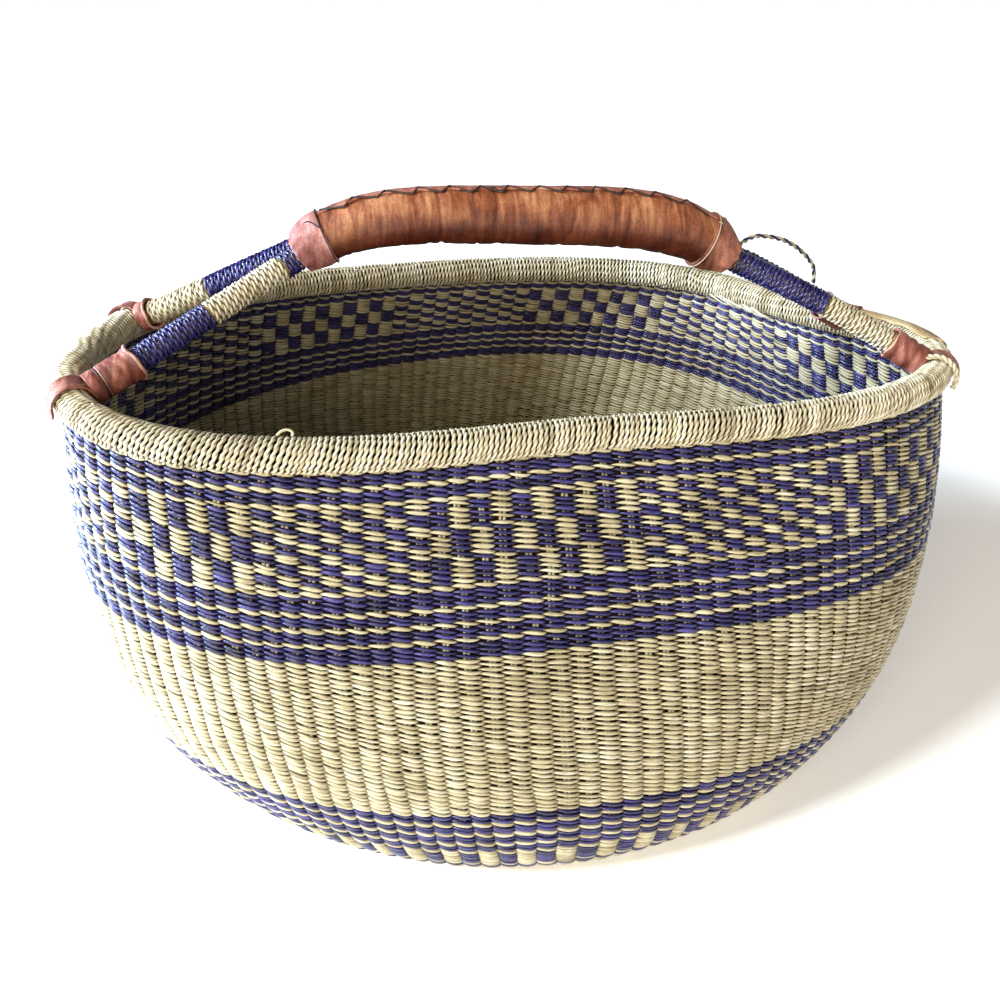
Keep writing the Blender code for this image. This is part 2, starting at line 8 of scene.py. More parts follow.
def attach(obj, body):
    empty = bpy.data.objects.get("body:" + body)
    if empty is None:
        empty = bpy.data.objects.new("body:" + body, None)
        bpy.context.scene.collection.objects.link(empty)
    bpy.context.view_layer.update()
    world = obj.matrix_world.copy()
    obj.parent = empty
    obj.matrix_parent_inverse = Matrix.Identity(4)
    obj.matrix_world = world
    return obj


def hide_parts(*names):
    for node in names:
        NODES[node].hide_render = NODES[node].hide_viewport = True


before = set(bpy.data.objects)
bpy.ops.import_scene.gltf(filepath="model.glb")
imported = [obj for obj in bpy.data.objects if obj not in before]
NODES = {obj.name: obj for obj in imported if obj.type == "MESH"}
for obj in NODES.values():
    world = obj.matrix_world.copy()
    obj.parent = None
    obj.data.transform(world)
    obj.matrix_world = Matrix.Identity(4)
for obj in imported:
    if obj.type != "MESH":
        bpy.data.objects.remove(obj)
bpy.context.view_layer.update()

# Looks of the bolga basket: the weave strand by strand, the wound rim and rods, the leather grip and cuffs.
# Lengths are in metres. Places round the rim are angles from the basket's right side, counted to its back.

SEED = 20
RNG = np.random.default_rng(SEED)

# Sizes of the bowl
BELLY_RADIUS = 0.2053
BELLY_HEIGHT = 0.070
BASE_RADIUS = 0.165
MOUTH_RADIUS = 0.1752
MOUTH_PINCH = 0.0348
RIM_HEIGHT = 0.1977
WALL = 0.005
MOUTH_TURN = math.radians(8.5)
MOUTH_POWER = 2.19
UPPER_POWER = 1.6
LOWER_POWER = 2.1
WAVE_POWER = 4
ROPE_RADIUS = 0.008
# Waves round the mouth: how many, cosine share and sine share
MOUTH_LOBES = ((2, 0.0, -0.006), (3, -0.048, -0.080), (4, -0.033, 0.0))
RIM_WAVES = ((1, -0.033, -0.0254), (2, 0.0147, -0.0132), (3, -0.0046, 0.0))

# Sizes of the handle
GRIP_HALF = 0.1036
GRIP_X = -0.002
GRIP_Y = -0.026
GRIP_RISE = 0.0709
GRIP_DROP = 0.0180
GRIP_TILT = 0.0030
GRIP_ARCH_POWER = 4.2
# The grip's thickness, worn unevenly: place along it and radius
GRIP_THICKNESS = ((-0.0950, 0.0112), (-0.0880, 0.0117), (-0.0760, 0.0124), (-0.0600, 0.0129),
                  (-0.0300, 0.0132), (0.0100, 0.0136), (0.0500, 0.0140), (0.0700, 0.0139),
                  (0.0820, 0.0132), (0.0950, 0.0122))
GRIP_ROD_SPREAD = 0.0048
GRIP_ROD_RADIUS = 0.0045
LEATHER = 0.0018
COLLAR_LEATHER = 0.0015
COLLAR_LENGTH = 0.0130
COLLAR_COVER = 0.0030
COLLAR_MOUTH_GAP = 0.0009
LACE_ANGLE = math.radians(107)
ROD_RADIUS = 0.0059
ROD_SPREAD = 0.0067
WRAP_MARGIN = 0.0032
SETTLE = 0.014
ROD_SIDE = {"front": -1, "back": 1}

# Each foot: its rod, its end of the grip, its place on the rim, the sleeve's length, how far the rod bows up,
# how far the sleeve's end flares, the thickness of its raw edge, the windings from the foot up with the share
# of the rod that each takes, and the strap. The strap has half widths at its neck and tail, how far the tail
# stands off, the turn in degrees where it leaves the rope, and its loose length.
FEET = {
    "front_left": {"rod": "front", "side": -1, "angle": 199.0, "sleeve": 0.0325, "bow": 0.0,
                   "flare": 0.0011, "edge": 0.00085, "strap": (0.0070, 0.0054, 0.0003, 158, 0.0035),
                   "wraps": (("lower", "navy", 0.455), ("middle", "natural", 0.47),
                             ("upper", "navy", 0.075))},
    "back_left": {"rod": "back", "side": -1, "angle": 159.0, "sleeve": 0.016, "bow": 0.0,
                  "flare": 0.0008, "edge": 0.0007, "strap": (0.0050, 0.0044, 0.0008, 150, 0.0045),
                  "wraps": (("lower", "natural", 0.42), ("upper", "navy", 0.58))},
    "front_right": {"rod": "front", "side": 1, "angle": 321.5, "sleeve": 0.028, "bow": 0.0030,
                    "flare": 0.0002, "edge": 0.00050, "strap": (0.0050, 0.0034, 0.0003, 150, 0.0020),
                    "wraps": (("lower", "natural", 0.42), ("upper", "navy", 0.58))},
    "back_right": {"rod": "back", "side": 1, "angle": 354.5, "sleeve": 0.028, "bow": 0.0020,
                   "flare": 0.0005, "edge": 0.0006, "strap": (0.0060, 0.0050, 0.0008, 150, 0.0045),
                   "wraps": (("lower", "natural", 0.36), ("upper", "navy", 0.64))},
}

# The hanging loop's route from the grip's right end
LOOP_ROUTE = (
    (0.0002, 0.0000, 0.0056), (0.0028, 0.0000, 0.0037), (0.0062, 0.0009, 0.0037), (0.0100, 0.0028, 0.0050),
    (0.0154, 0.0065, 0.0061), (0.0229, 0.0105, 0.0056), (0.0356, 0.0150, 0.0022), (0.0462, 0.0190, -0.0034),
    (0.0558, 0.0230, -0.0112), (0.0609, 0.0265, -0.0176), (0.0634, 0.0298, -0.0259),
)

# Camera, light and floor
CAMERA_PLACE = (-0.10407, -0.55612, 0.40973)
CAMERA_RIGHT = (0.98598, -0.16498, 0.02502)
CAMERA_VIEW = (0.1567, 0.86387, -0.47872)
SENSOR_WIDTH = 36.0
FOCAL_PIXELS = 1146.66
PHOTO_PIXELS = 1000.0
FLOOR_REACH = 12.0
FLOOR_HEIGHT = -0.0012


def add_object(name, data):
    made = bpy.data.objects.new(name, data)
    bpy.context.scene.collection.objects.link(made)
    return made


def make_camera():
    """The camera that was fitted to the photograph."""
    data = bpy.data.cameras.new("camera")
    camera = add_object("camera", data)
    right = Vector(CAMERA_RIGHT).normalized()
    back = -Vector(CAMERA_VIEW).normalized()
    up = back.cross(right).normalized()
    right = up.cross(back)
    turn = Matrix((right, up, back)).transposed()
    camera.matrix_world = Matrix.Translation(CAMERA_PLACE) @ turn.to_4x4()
    data.sensor_width = SENSOR_WIDTH
    data.lens = SENSOR_WIDTH * FOCAL_PIXELS / PHOTO_PIXELS
    data.clip_start = 0.01
    data.clip_end = 100.0
    bpy.context.scene.camera = camera
    bpy.context.scene.view_settings.view_transform = "Standard"


def make_world():
    """A pale backdrop to 17 degrees above the horizon, and a dim warm room from 30 degrees up."""
    world = bpy.data.worlds.new("studio")
    world.use_nodes = True
    tree = world.node_tree
    place = tree.nodes.new("ShaderNodeTexCoord")
    parts = tree.nodes.new("ShaderNodeSeparateXYZ")
    sky = tree.nodes.new("ShaderNodeValToRGB")
    low, high = sky.color_ramp.elements
    low.position = 0.30
    low.color = (0.80, 0.80, 0.80, 1.0)
    high.position = 0.50
    high.color = (0.11, 0.09, 0.068, 1.0)
    tree.links.new(place.outputs["Generated"], parts.inputs["Vector"])
    tree.links.new(parts.outputs["Z"], sky.inputs["Fac"])
    tree.links.new(sky.outputs["Color"], tree.nodes["Background"].inputs["Color"])
    tree.nodes["Background"].inputs["Strength"].default_value = 1.0
    bpy.context.scene.world = world


def aim(lamp, direction):
    lamp.rotation_mode = "QUATERNION"
    lamp.rotation_quaternion = Vector(direction).to_track_quat("-Z", "Y")


def make_key_light():
    """A soft cool sun from the front left."""
    data = bpy.data.lights.new("key", "SUN")
    data.energy = 3.3
    data.angle = math.radians(12.0)
    data.color = (0.85, 0.94, 1.0)
    aim(add_object("key", data), (1.05, 0.42, -0.80))


def make_area_light(name, place, target, size, energy, colour):
    data = bpy.data.lights.new(name, "AREA")
    data.shape = "DISK"
    data.size = size
    data.energy = energy
    data.color = colour
    lamp = add_object(name, data)
    lamp.location = place
    aim(lamp, Vector(target) - Vector(place))


def make_floor():
    """A plain white floor that glows a little."""
    far = FLOOR_REACH
    plane = bpy.data.meshes.new("floor")
    plane.from_pydata([(-far, -far, 0), (far, -far, 0), (far, far, 0), (-far, far, 0)], [], [(0, 1, 2, 3)])
    floor = add_object("floor", plane)
    floor.location.z = FLOOR_HEIGHT
    paint = bpy.data.materials.new("floor")
    paint.use_nodes = True
    shader = paint.node_tree.nodes["Principled BSDF"]
    shader.inputs["Base Color"].default_value = (1.0, 0.97, 0.94, 1.0)
    shader.inputs["Emission Color"].default_value = (1.0, 1.0, 1.0, 1.0)
    shader.inputs["Emission Strength"].default_value = 0.28
    shader.inputs["Roughness"].default_value = 0.85
    floor.data.materials.append(paint)


make_camera()
make_world()
make_key_light()
make_area_light("front", (-0.9, -1.6, 0.8), (0.0, 0.0, 0.10), 1.0, 24.0, (1.0, 0.90, 0.68))
make_area_light("window", (-1.5, 0.25, 0.50), (0.15, -0.05, 0.12), 0.8, 78.0, (0.58, 0.78, 1.0))
make_floor()


# Materials

def rgb(r, g, b):
    """A colour from 0 to 255 as shader values."""
    def linear(c):
        c /= 255.0
        return c / 12.92 if c <= 0.04045 else ((c + 0.055) / 1.055) ** 2.4
    return (linear(r), linear(g), linear(b), 1.0)


class Nodes:
    """A helper that wires one Principled material."""

    def __init__(self, name):
        self.material = bpy.data.materials.new(name)
        self.material.use_nodes = True
        self.tree = self.material.node_tree
        self.shader = self.tree.nodes["Principled BSDF"]

    def feed(self, socket, value):
        if isinstance(value, bpy.types.NodeSocket):
            self.tree.links.new(value, socket)
        else:
            socket.default_value = value

    def add(self, kind, inputs=None, **options):
        node = self.tree.nodes.new(kind)
        for key, value in options.items():
            setattr(node, key, value)
        for key, value in (inputs or {}).items():
            self.feed(node.inputs[key], value)
        return node

    def strand_place(self, scale):
        source = self.add("ShaderNodeUVMap", uv_map="strand").outputs["UV"]
        return self.add("ShaderNodeMapping", {"Vector": source, "Scale": scale}).outputs["Vector"]

    def place(self, scale=(1, 1, 1)):
        source = self.add("ShaderNodeTexCoord").outputs["Object"]
        return self.add("ShaderNodeMapping", {"Vector": source, "Scale": scale}).outputs["Vector"]

    def own(self, name):
        """A value that the mesh carries."""
        return self.add("ShaderNodeAttribute", attribute_name=name).outputs["Fac"]

    def noise(self, vector, scale, detail=3.0, rough=0.6, distortion=0.0):
        inputs = {"Vector": vector, "Scale": scale, "Detail": detail, "Roughness": rough,
                  "Distortion": distortion}
        return self.add("ShaderNodeTexNoise", inputs).outputs["Fac"]

    def ramp(self, value, *stops):
        node = self.add("ShaderNodeValToRGB", {"Fac": value})
        elements = node.color_ramp.elements
        while len(elements) < len(stops):
            elements.new(0.5)
        for element, (place, colour) in zip(elements, stops):
            element.position = place
            element.color = colour
        return node.outputs["Color"]

    def mix(self, share, a, b, blend="MIX"):
        """A colour mix: the node has its colour sockets at 6 and 7 and its colour output at 2."""
        node = self.add("ShaderNodeMix", data_type="RGBA", blend_type=blend)
        for socket, value in ((node.inputs[0], share), (node.inputs[6], a), (node.inputs[7], b)):
            self.feed(socket, value)
        return node.outputs[2]

    def math(self, operation, *values):
        node = self.add("ShaderNodeMath", operation=operation)
        for socket, value in zip(node.inputs, values):
            self.feed(socket, value)
        return node.outputs[0]

    def blend(self, *parts):
        """The sum of (value, share) pairs."""
        total = self.math("MULTIPLY", *parts[0])
        for value, share in parts[1:]:
            total = self.math("MULTIPLY_ADD", value, share, total)
        return total

    def spread(self, value, low, high, to_low=0.0, to_high=1.0):
        inputs = {"Value": value, "From Min": low, "From Max": high, "To Min": to_low, "To Max": to_high}
        return self.add("ShaderNodeMapRange", inputs).outputs["Result"]

    def paint_shade(self, colour, tint):
        """Painted shade: the colour multiplied by a dark tint as far as the mesh's shade goes."""
        return self.mix(self.own("shade"), colour, self.mix(1.0, colour, tint, "MULTIPLY"))

    def finish(self, colour, roughness, specular, height, strength, distance):
        inputs = {"Height": height, "Strength": strength, "Distance": distance}
        self.feed(self.shader.inputs["Normal"], self.add("ShaderNodeBump", inputs).outputs["Normal"])
        self.feed(self.shader.inputs["Base Color"], colour)
        self.feed(self.shader.inputs["Roughness"], roughness)
        self.feed(self.shader.inputs["Specular IOR Level"], specular)
        return self.material


# Dark tints for painted shade in the straw and the leather
PAINTED_SHADE_STRAW = (0.16, 0.11, 0.06, 1)
PAINTED_SHADE_LEATHER = (0.20, 0.07, 0.025, 1)
WHITE = (1, 1, 1, 1)


def straw(name, dark, mid, light, low_rough, high_rough, specular, own=0.40):
    """Split straw: fibres run along the strand, and each strand has a tone of its own. Painted shade makes it
    darker where the mesh carries shade.
    """
    n = Nodes(name)
    fibre = n.noise(n.strand_place((90.0, 5.0, 1.0)), 1.0)
    fine = n.noise(n.strand_place((260.0, 16.0, 1.0)), 1.0, 2.0)
    patch = n.noise(n.place(), 26.0)
    tone = n.math("MULTIPLY_ADD", n.own("tone"), own, 0.20 - own / 2)
    value = n.math("ADD", n.blend((fibre, 0.45), (patch, 0.30)), tone)
    colour = n.ramp(value, (0.30, dark), (0.56, mid), (0.86, light))
    lines = n.spread(fine, 0.36, 0.50, 0.55, 1.0)
    colour = n.mix(1.0, colour, n.mix(lines, dark, WHITE), "MULTIPLY")
    colour = n.paint_shade(colour, PAINTED_SHADE_STRAW)
    rough = n.spread(fine, 0.3, 0.7, low_rough, high_rough)
    return n.finish(colour, rough, specular, n.blend((fibre, 0.6), (fine, 0.4)), 0.75, 0.0008)


def leather(name, dark, mid, light, low_rough, high_rough, grain, wrinkle):
    """Worn goatskin: mottled, with pores, scratches and fine wrinkles across the length, and darker where the
    mesh carries painted shade.
    """
    n = Nodes(name)
    wide = n.noise(n.place(), 46.0, 5.0, 0.62, 0.6)
    across = n.noise(n.place((1.0, 0.16, 0.16)), wrinkle, 4.0, 0.6, 0.5)
    pores = n.add("ShaderNodeTexVoronoi", {"Vector": n.place(), "Scale": grain}).outputs["Distance"]
    fine = n.noise(n.place(), 900.0)
    scratch = n.noise(n.place((1.0, 0.25, 2.2)), 150.0, 3.0, 0.7, 1.5)
    colour = n.ramp(n.blend((wide, 0.52), (across, 0.48)), (0.36, dark), (0.48, mid), (0.62, light))
    colour = n.mix(n.spread(fine, 0.42, 0.62, 0.0, 0.28), colour, dark)
    colour = n.mix(n.spread(scratch, 0.62, 0.74, 0.0, 0.55), colour, dark)
    colour = n.mix(n.spread(scratch, 0.36, 0.28, 0.0, 0.30), colour, light)
    colour = n.paint_shade(colour, PAINTED_SHADE_LEATHER)
    rough = n.spread(wide, 0.3, 0.7, low_rough, high_rough)
    height = n.blend((pores, 0.35), (fine, 0.12), (across, 1.3))
    return n.finish(colour, rough, 0.4, height, 0.50, 0.0006)


NATURAL = straw("straw_natural", rgb(96, 76, 46), rgb(194, 180, 143), rgb(246, 240, 218),
                0.32, 0.60, 0.45, 0.20)
NAVY = straw("straw_navy", rgb(8, 5, 24), rgb(36, 28, 82), rgb(84, 74, 150), 0.16, 0.40, 0.6, 0.30)
# The windings' navy is a lighter copy of the weave's navy: its lighter colour is painted light, its lower
# roughness its own gloss.
WRAP_NAVY_WITH_PAINTED_LIGHT = straw("straw_navy_wrap_painted_light", rgb(10, 8, 34), rgb(44, 38, 104), rgb(108, 104, 184),
                  0.14, 0.32, 0.7, 0.30)
RIM = straw("straw_rim", rgb(100, 79, 48), rgb(220, 206, 172), rgb(255, 252, 236), 0.34, 0.62, 0.4, 0.30)
STAKE = straw("straw_stake", rgb(84, 64, 36), rgb(168, 146, 96), rgb(206, 188, 140), 0.4, 0.7, 0.3)
# Near-black straw for the heart of the weave and the rope's core, seen down the gaps, and for the hidden grip
# padding: painted shade.
PAINTED_SHADE_CORE = straw("straw_core_painted_shade", rgb(20, 12, 6), rgb(46, 32, 18), rgb(80, 60, 34), 0.7, 0.9, 0.1)
THREAD = straw("thread_pale", rgb(150, 130, 100), rgb(196, 180, 150), rgb(228, 218, 196), 0.6, 0.8, 0.3)
GRIP_SKIN = leather("leather_grip", rgb(94, 46, 28), rgb(152, 87, 55), rgb(204, 143, 100),
                    0.46, 0.66, 700.0, 330.0)
FLAP_SKIN = leather("leather_flap", rgb(96, 48, 36), rgb(154, 90, 72), rgb(190, 132, 110),
                    0.46, 0.66, 700.0, 330.0)
CUFF_SKIN = leather("leather_cuff", rgb(80, 38, 32), rgb(138, 76, 63), rgb(190, 132, 114),
                    0.44, 0.64, 800.0, 200.0)
# The left collar is lighter and pinker than the right one: partly their own colours, partly painted light on
# the left and painted shade on the right.
LEFT_COLLAR_WITH_PAINTED_LIGHT = leather("leather_left_collar_painted_light", rgb(104, 52, 48), rgb(162, 104, 96), rgb(214, 168, 162),
                      0.40, 0.58, 800.0, 200.0)
RIGHT_COLLAR_WITH_PAINTED_SHADE = leather("leather_right_collar_painted_shade", rgb(72, 34, 26), rgb(124, 70, 52), rgb(170, 110, 88),
                       0.44, 0.64, 800.0, 200.0)
RAW_SKIN = leather("leather_raw_edge", rgb(120, 80, 70), rgb(190, 142, 126), rgb(214, 176, 160),
                   0.5, 0.7, 900.0, 220.0)
TAN_SKIN = leather("leather_tan", rgb(130, 100, 66), rgb(196, 166, 122), rgb(222, 200, 160),
                   0.4, 0.6, 900.0, 200.0)
LACE = leather("leather_lace", rgb(22, 14, 12), rgb(44, 28, 24), rgb(70, 46, 38), 0.45, 0.65, 900.0, 300.0)


# Mesh helpers

UP = np.array([0.0, 0.0, 1.0])
TINY = 1e-5


def link(name, mesh, slot, *replaced):
    """Put a piece in the scene, riding on the root."""
    piece = add_object(name, mesh)
    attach(piece, "root")
    if replaced:
        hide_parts(*replaced)


def unit(v):
    return v / np.maximum(np.linalg.norm(v, axis=-1, keepdims=True), 1e-12)


def square_to(vectors, way):
    """The vectors without what runs along way, at unit length."""
    return unit(vectors - (vectors * way).sum(-1, keepdims=True) * way)


def cross_axes(way):
    """Two axes square to one direction."""
    first = np.array(Vector(way).orthogonal().normalized())
    return first, np.cross(way, first)


def circle(corners, shift=0.0):
    """Evenly spaced angles round a ring."""
    return 2 * np.pi * (np.arange(corners) + shift) / corners


def toward(angle, first, second):
    """Directions at angles counted from first to second."""
    angle = np.asarray(angle, float)
    return np.cos(angle)[..., None] * first + np.sin(angle)[..., None] * second


def around(turn, first, second):
    """The same directions all round a ring for each station's axes: (stations, corners, 3)."""
    return toward(turn[None], first[:, None], second[:, None])


def apart_angle(a, b):
    """The difference of two angles, from minus to plus half a turn."""
    return np.angle(np.exp(1j * (a - b)))


def far_along(points):
    """Distance along a path."""
    return np.concatenate([[0], np.cumsum(np.linalg.norm(np.diff(points, axis=0), axis=1))])


def one_more(values):
    """The values with the last one again, since a mesh takes one distance more than it has stations."""
    return np.append(values, values[-1])


def corner_pairs(u1, u2, v1, v2):
    """The four texture points of each face."""
    return np.stack([u1, v1, u2, v1, u2, v2, u1, v2], -1).reshape(-1, 4, 2)


def add_layer(mesh, name, domain, values):
    mesh.attributes.new(name, "FLOAT", domain).data.foreach_set("value", values.astype(np.float32).ravel())


def tube_mesh(name, rings, along, materials, closed=False, slots=None, tone=None, shade=None):
    """One mesh of four-cornered faces over rings, given as (strands, stations, corners, 3).

    along holds the distance at each station and one more. slots and tone have a value for each strand and
    span; shade, the painted shade that the materials make the colour darker by, has one for each point. Faces
    are turned outward by the first strand.
    """
    strands, stations, corners, _ = rings.shape
    spans = stations if closed else stations - 1
    s, i, j = np.meshgrid(np.arange(strands), np.arange(spans), np.arange(corners), indexing="ij")
    i2 = (i + 1) % stations
    j2 = (j + 1) % corners

    def at(station, corner):
        return (s * stations + station) * corners + corner

    quads = np.stack([at(i, j), at(i2, j), at(i2, j2), at(i, j2)], -1).reshape(-1, 4)
    flat = rings.reshape(-1, 3)
    p = flat[quads[: spans * corners]]
    middle = rings[0].mean(1)[np.repeat(np.arange(spans), corners)]
    face_way = np.cross(p[:, 2] - p[:, 0], p[:, 3] - p[:, 1])
    inside_out = np.einsum("ij,ij->i", face_way, p.mean(1) - middle).sum() < 0
    shift = RNG.random(strands)[s]
    own = corner_pairs(along[i], along[i + 1], j / corners + shift, (j + 1) / corners + shift)
    row = s * corners + j
    rows = strands * corners
    bake = corner_pairs(i / spans, (i + 1) / spans, row / rows, (row + 1) / rows)
    if inside_out:
        quads = quads[:, ::-1]
        own = own[:, ::-1]
        bake = bake[:, ::-1]

    mesh = bpy.data.meshes.new(name)
    mesh.vertices.add(len(flat))
    mesh.vertices.foreach_set("co", flat.astype(np.float32).ravel())
    mesh.loops.add(quads.size)
    mesh.loops.foreach_set("vertex_index", quads.astype(np.int32).ravel())
    mesh.polygons.add(len(quads))
    mesh.polygons.foreach_set("loop_start", np.arange(0, quads.size, 4, dtype=np.int32))
    mesh.polygons.foreach_set("use_smooth", np.ones(len(quads), bool))
    for material in materials:
        mesh.materials.append(material)
    if slots is not None:
        wide = np.broadcast_to(slots[:, :spans, None], s.shape)
        mesh.polygons.foreach_set("material_index", wide.astype(np.int32).ravel())
    mesh.uv_layers.new(name="OFBake").data.foreach_set("uv", bake.astype(np.float32).ravel())
    mesh.uv_layers.new(name="strand").data.foreach_set("uv", own.astype(np.float32).ravel())
    if tone is not None:
        add_layer(mesh, "tone", "FACE", np.broadcast_to(tone[:, :spans, None], s.shape))
    # The painted shade goes on each point, for the materials to make the colour darker by.
    if shade is not None:
        add_layer(mesh, "shade", "POINT", np.broadcast_to(shade, rings.shape[:3]))
    mesh.update(calc_edges=True)
    mesh.validate()
    return mesh


def sweep(points, radii, corners):
    """Rings round one path, carried along it without a twist."""
    way = unit(np.gradient(points, axis=0))
    last = UP if abs(way[0, 2]) < 0.9 else np.array([1.0, 0.0, 0.0])
    normal = np.empty_like(points)
    for index in range(len(points)):
        last = last - last.dot(way[index]) * way[index]
        last = last / np.linalg.norm(last)
        normal[index] = last
    return points[:, None] + radii[:, None, None] * around(circle(corners), normal, np.cross(way, normal))


def tube(name, points, radii, material, slot, *replaced, corners):
    """One tube with pinched ends."""
    points = np.asarray(points, float)
    radii = np.broadcast_to(radii, (len(points),))
    points = np.concatenate([points[:1], points, points[-1:]])
    radii = np.concatenate([[TINY], radii, [TINY]])
    points[0] -= (points[2] - points[1]) * 0.05
    points[-1] += (points[-2] - points[-3]) * 0.05
    rings = sweep(points, radii, corners)[None]
    tone = np.full((1, len(points) - 1), 0.5)
    mesh = tube_mesh(name, rings, one_more(far_along(points)), [material], tone=tone)
    link(name, mesh, slot, *replaced)


def closed_sleeve(name, outer, inner, material, slot, along, *replaced, shade=None):
    """A tube wall from outer and inner rings, closed over both ends."""
    rings = np.concatenate([outer, inner[::-1]])[None]
    link(name, tube_mesh(name, rings, one_more(along), [material], True, shade=shade), slot, *replaced)


def pinch_ends(rings):
    """The rings of one strand with each end drawn together in its middle."""
    first = np.broadcast_to(rings[:1].mean(1, keepdims=True), rings[:1].shape)
    last = np.broadcast_to(rings[-1:].mean(1, keepdims=True), rings[-1:].shape)
    return np.concatenate([first, rings, last])


def smooth_path(points, count):
    """A smooth curve through points, evenly spaced."""
    points = np.asarray(points, float)
    padded = np.concatenate([[2 * points[0] - points[1]], points, [2 * points[-1] - points[-2]]])
    t = np.linspace(0, 1, 24, endpoint=False)[:, None]
    fine = []
    for k in range(len(points) - 1):
        p0, p1, p2, p3 = padded[k:k + 4]
        fine.append(0.5 * (2 * p1 + (p2 - p0) * t + (2 * p0 - 5 * p1 + 4 * p2 - p3) * t**2
                           + (3 * p1 - p0 - 3 * p2 + p3) * t**3))
    fine = np.concatenate(fine + [points[-1:]])
    far = far_along(fine)
    want = np.linspace(0, far[-1], count)
    return np.stack([np.interp(want, far, fine[:, axis]) for axis in range(3)], -1)


def wander(count, strength, span, closed=False):
    """Smooth seeded noise along count stations, with a feature about every span stations."""
    knots = max(int(round(count / span)), 4)
    values = RNG.normal(0, strength, knots)
    if closed:
        values = np.concatenate([values, values[:1]])
        return np.interp(np.arange(count) / count * knots, np.arange(knots + 1), values)
    return np.interp(np.linspace(0, knots - 1, count), np.arange(knots), values)


def plies(centre, along, across, radius, offset, pitch, corners, size=1.0):
    """Two thin strands twisted round a path: rings, distances, and painted shade for the sides that lie deep.
    """
    far = far_along(centre)
    third = np.cross(along, across)
    made = []
    shades = []
    for ply in range(2):
        spin = 2 * np.pi * (far / pitch + ply / 2)
        path = centre + offset * toward(spin, across, third)
        way = unit(np.gradient(path, axis=0))
        first = square_to(across, way)
        sizes = np.broadcast_to(radius * size, (len(path),))[:, None, None]
        rings = path[:, None] + sizes * around(circle(corners), first, np.cross(way, first))
        high = ((rings - centre[:, None]) * across[:, None]).sum(-1) / (radius + offset)
        made.append(rings)
        # Painted shade: each ply is darker on its sides that lie low, under the strand's outer face.
        shades.append(np.clip(0.70 - 1.1 * high, 0, 1))
    return np.stack(made), one_more(far), np.stack(shades)


# The bowl's surface

def mean_radius(h):
    high = np.clip((h - BELLY_HEIGHT) / (RIM_HEIGHT - BELLY_HEIGHT), 0, None)
    low = np.clip((BELLY_HEIGHT - h) / BELLY_HEIGHT, 0, 1)
    bulge = np.clip(1 - low**LOWER_POWER, 0, None) ** (1 / LOWER_POWER)
    return np.where(h >= BELLY_HEIGHT, BELLY_RADIUS - (BELLY_RADIUS - MOUTH_RADIUS) * high**UPPER_POWER,
                    BASE_RADIUS + (BELLY_RADIUS - BASE_RADIUS) * bulge)


def waves(angle, shares):
    return sum(a * np.cos(k * angle) + b * np.sin(k * angle) for k, a, b in shares)


def wall_at(angle, h, share=1.0):
    """A point of the outer face at a height, or of the base at a share of its radius."""
    rise = h / RIM_HEIGHT
    radius = mean_radius(h) * share
    pinch = MOUTH_PINCH * rise
    power = 2 + (MOUTH_POWER - 2) * rise
    c = np.cos(angle)
    s = np.sin(angle)
    fit = (np.abs(c) ** power + np.abs(s) ** power) ** (-1 / power) * (1 + rise * waves(angle, MOUTH_LOBES))
    x = (radius + pinch) * c * fit
    y = (radius - pinch) * s * fit
    wave = RIM_HEIGHT * np.clip(rise, 0, None) ** WAVE_POWER * waves(angle, RIM_WAVES)
    ct = math.cos(MOUTH_TURN)
    st = math.sin(MOUTH_TURN)
    return np.stack([ct * x - st * y, st * x + ct * y, h + wave], -1)


def profile_table():
    """Heights down the outer face, and the distance to each from the rope's centre."""
    turn = np.linspace(0, np.pi / 2, 400)
    upper = np.linspace(RIM_HEIGHT, BELLY_HEIGHT, 600)[:-1]
    heights = np.concatenate([upper, BELLY_HEIGHT * (1 - np.sin(turn) ** (2 / LOWER_POWER))])
    heights[-1] = 0.0
    return heights, far_along(np.stack([heights, mean_radius(heights)], -1))


HEIGHTS, DOWN = profile_table()
SIDE_LENGTH = DOWN[-1]
# Stakes stand at equal distances along the mouth. The very front is three quarters of the way round.
STAKES = 128
FRONT_SHARE = 0.75
FRONT_STAKE = 10.1157
MOUTH_ANGLES = np.linspace(0, 2 * np.pi, 4001)
MOUTH_FAR = far_along(wall_at(MOUTH_ANGLES, RIM_HEIGHT))
MOUTH_LENGTH = MOUTH_FAR[-1]


def stake_angle(index):
    """Angle on the mouth's oval of a stake number, which may be a fraction."""
    share = FRONT_SHARE + (index - FRONT_STAKE) / STAKES
    return np.interp(np.mod(share, 1.0), MOUTH_FAR / MOUTH_LENGTH, MOUTH_ANGLES)


def bowl_at(index, far):
    """A point of the outer face, or of the base further on, at a stake number and a distance down."""
    share = np.clip(1 - (far - SIDE_LENGTH) / BASE_RADIUS, 0.0, 1.0)
    return wall_at(stake_angle(index), np.interp(far, DOWN, HEIGHTS), share)


def bowl_frame(index, far):
    """Point, way along the row, way down the wall and way out."""
    step_along = 0.05
    step_down = 0.0008
    along = unit(bowl_at(index + step_along, far) - bowl_at(index - step_along, far))
    down = unit(bowl_at(index, far + step_down) - bowl_at(index, far - step_down))
    out = unit(np.cross(down, along))
    return bowl_at(index, far), along, unit(np.cross(along, out)), out


# Weave

FIRST_ROW = 0.0066
ROW_PITCH = 0.00214
# The rows stop this far from the middle of the base
BASE_MIDDLE = 0.004
# Rows that are navy all round, counted from the rim
STRIPES = {1, 2, 4, 5, 23, 24, 25, 27, 28, 30, 31, 33, 34, 35, 69, 70, 72, 73, 75, 76, 78, 79, 87, 88}
PATTERN_ROWS = range(7, 22)
CHECK_ROWS = range(81, 86)
# In the pattern rows a block is five rows high, and a slanted sector shifts every two rows
BLOCK_ROWS = 5
SLANT_ROWS = 2
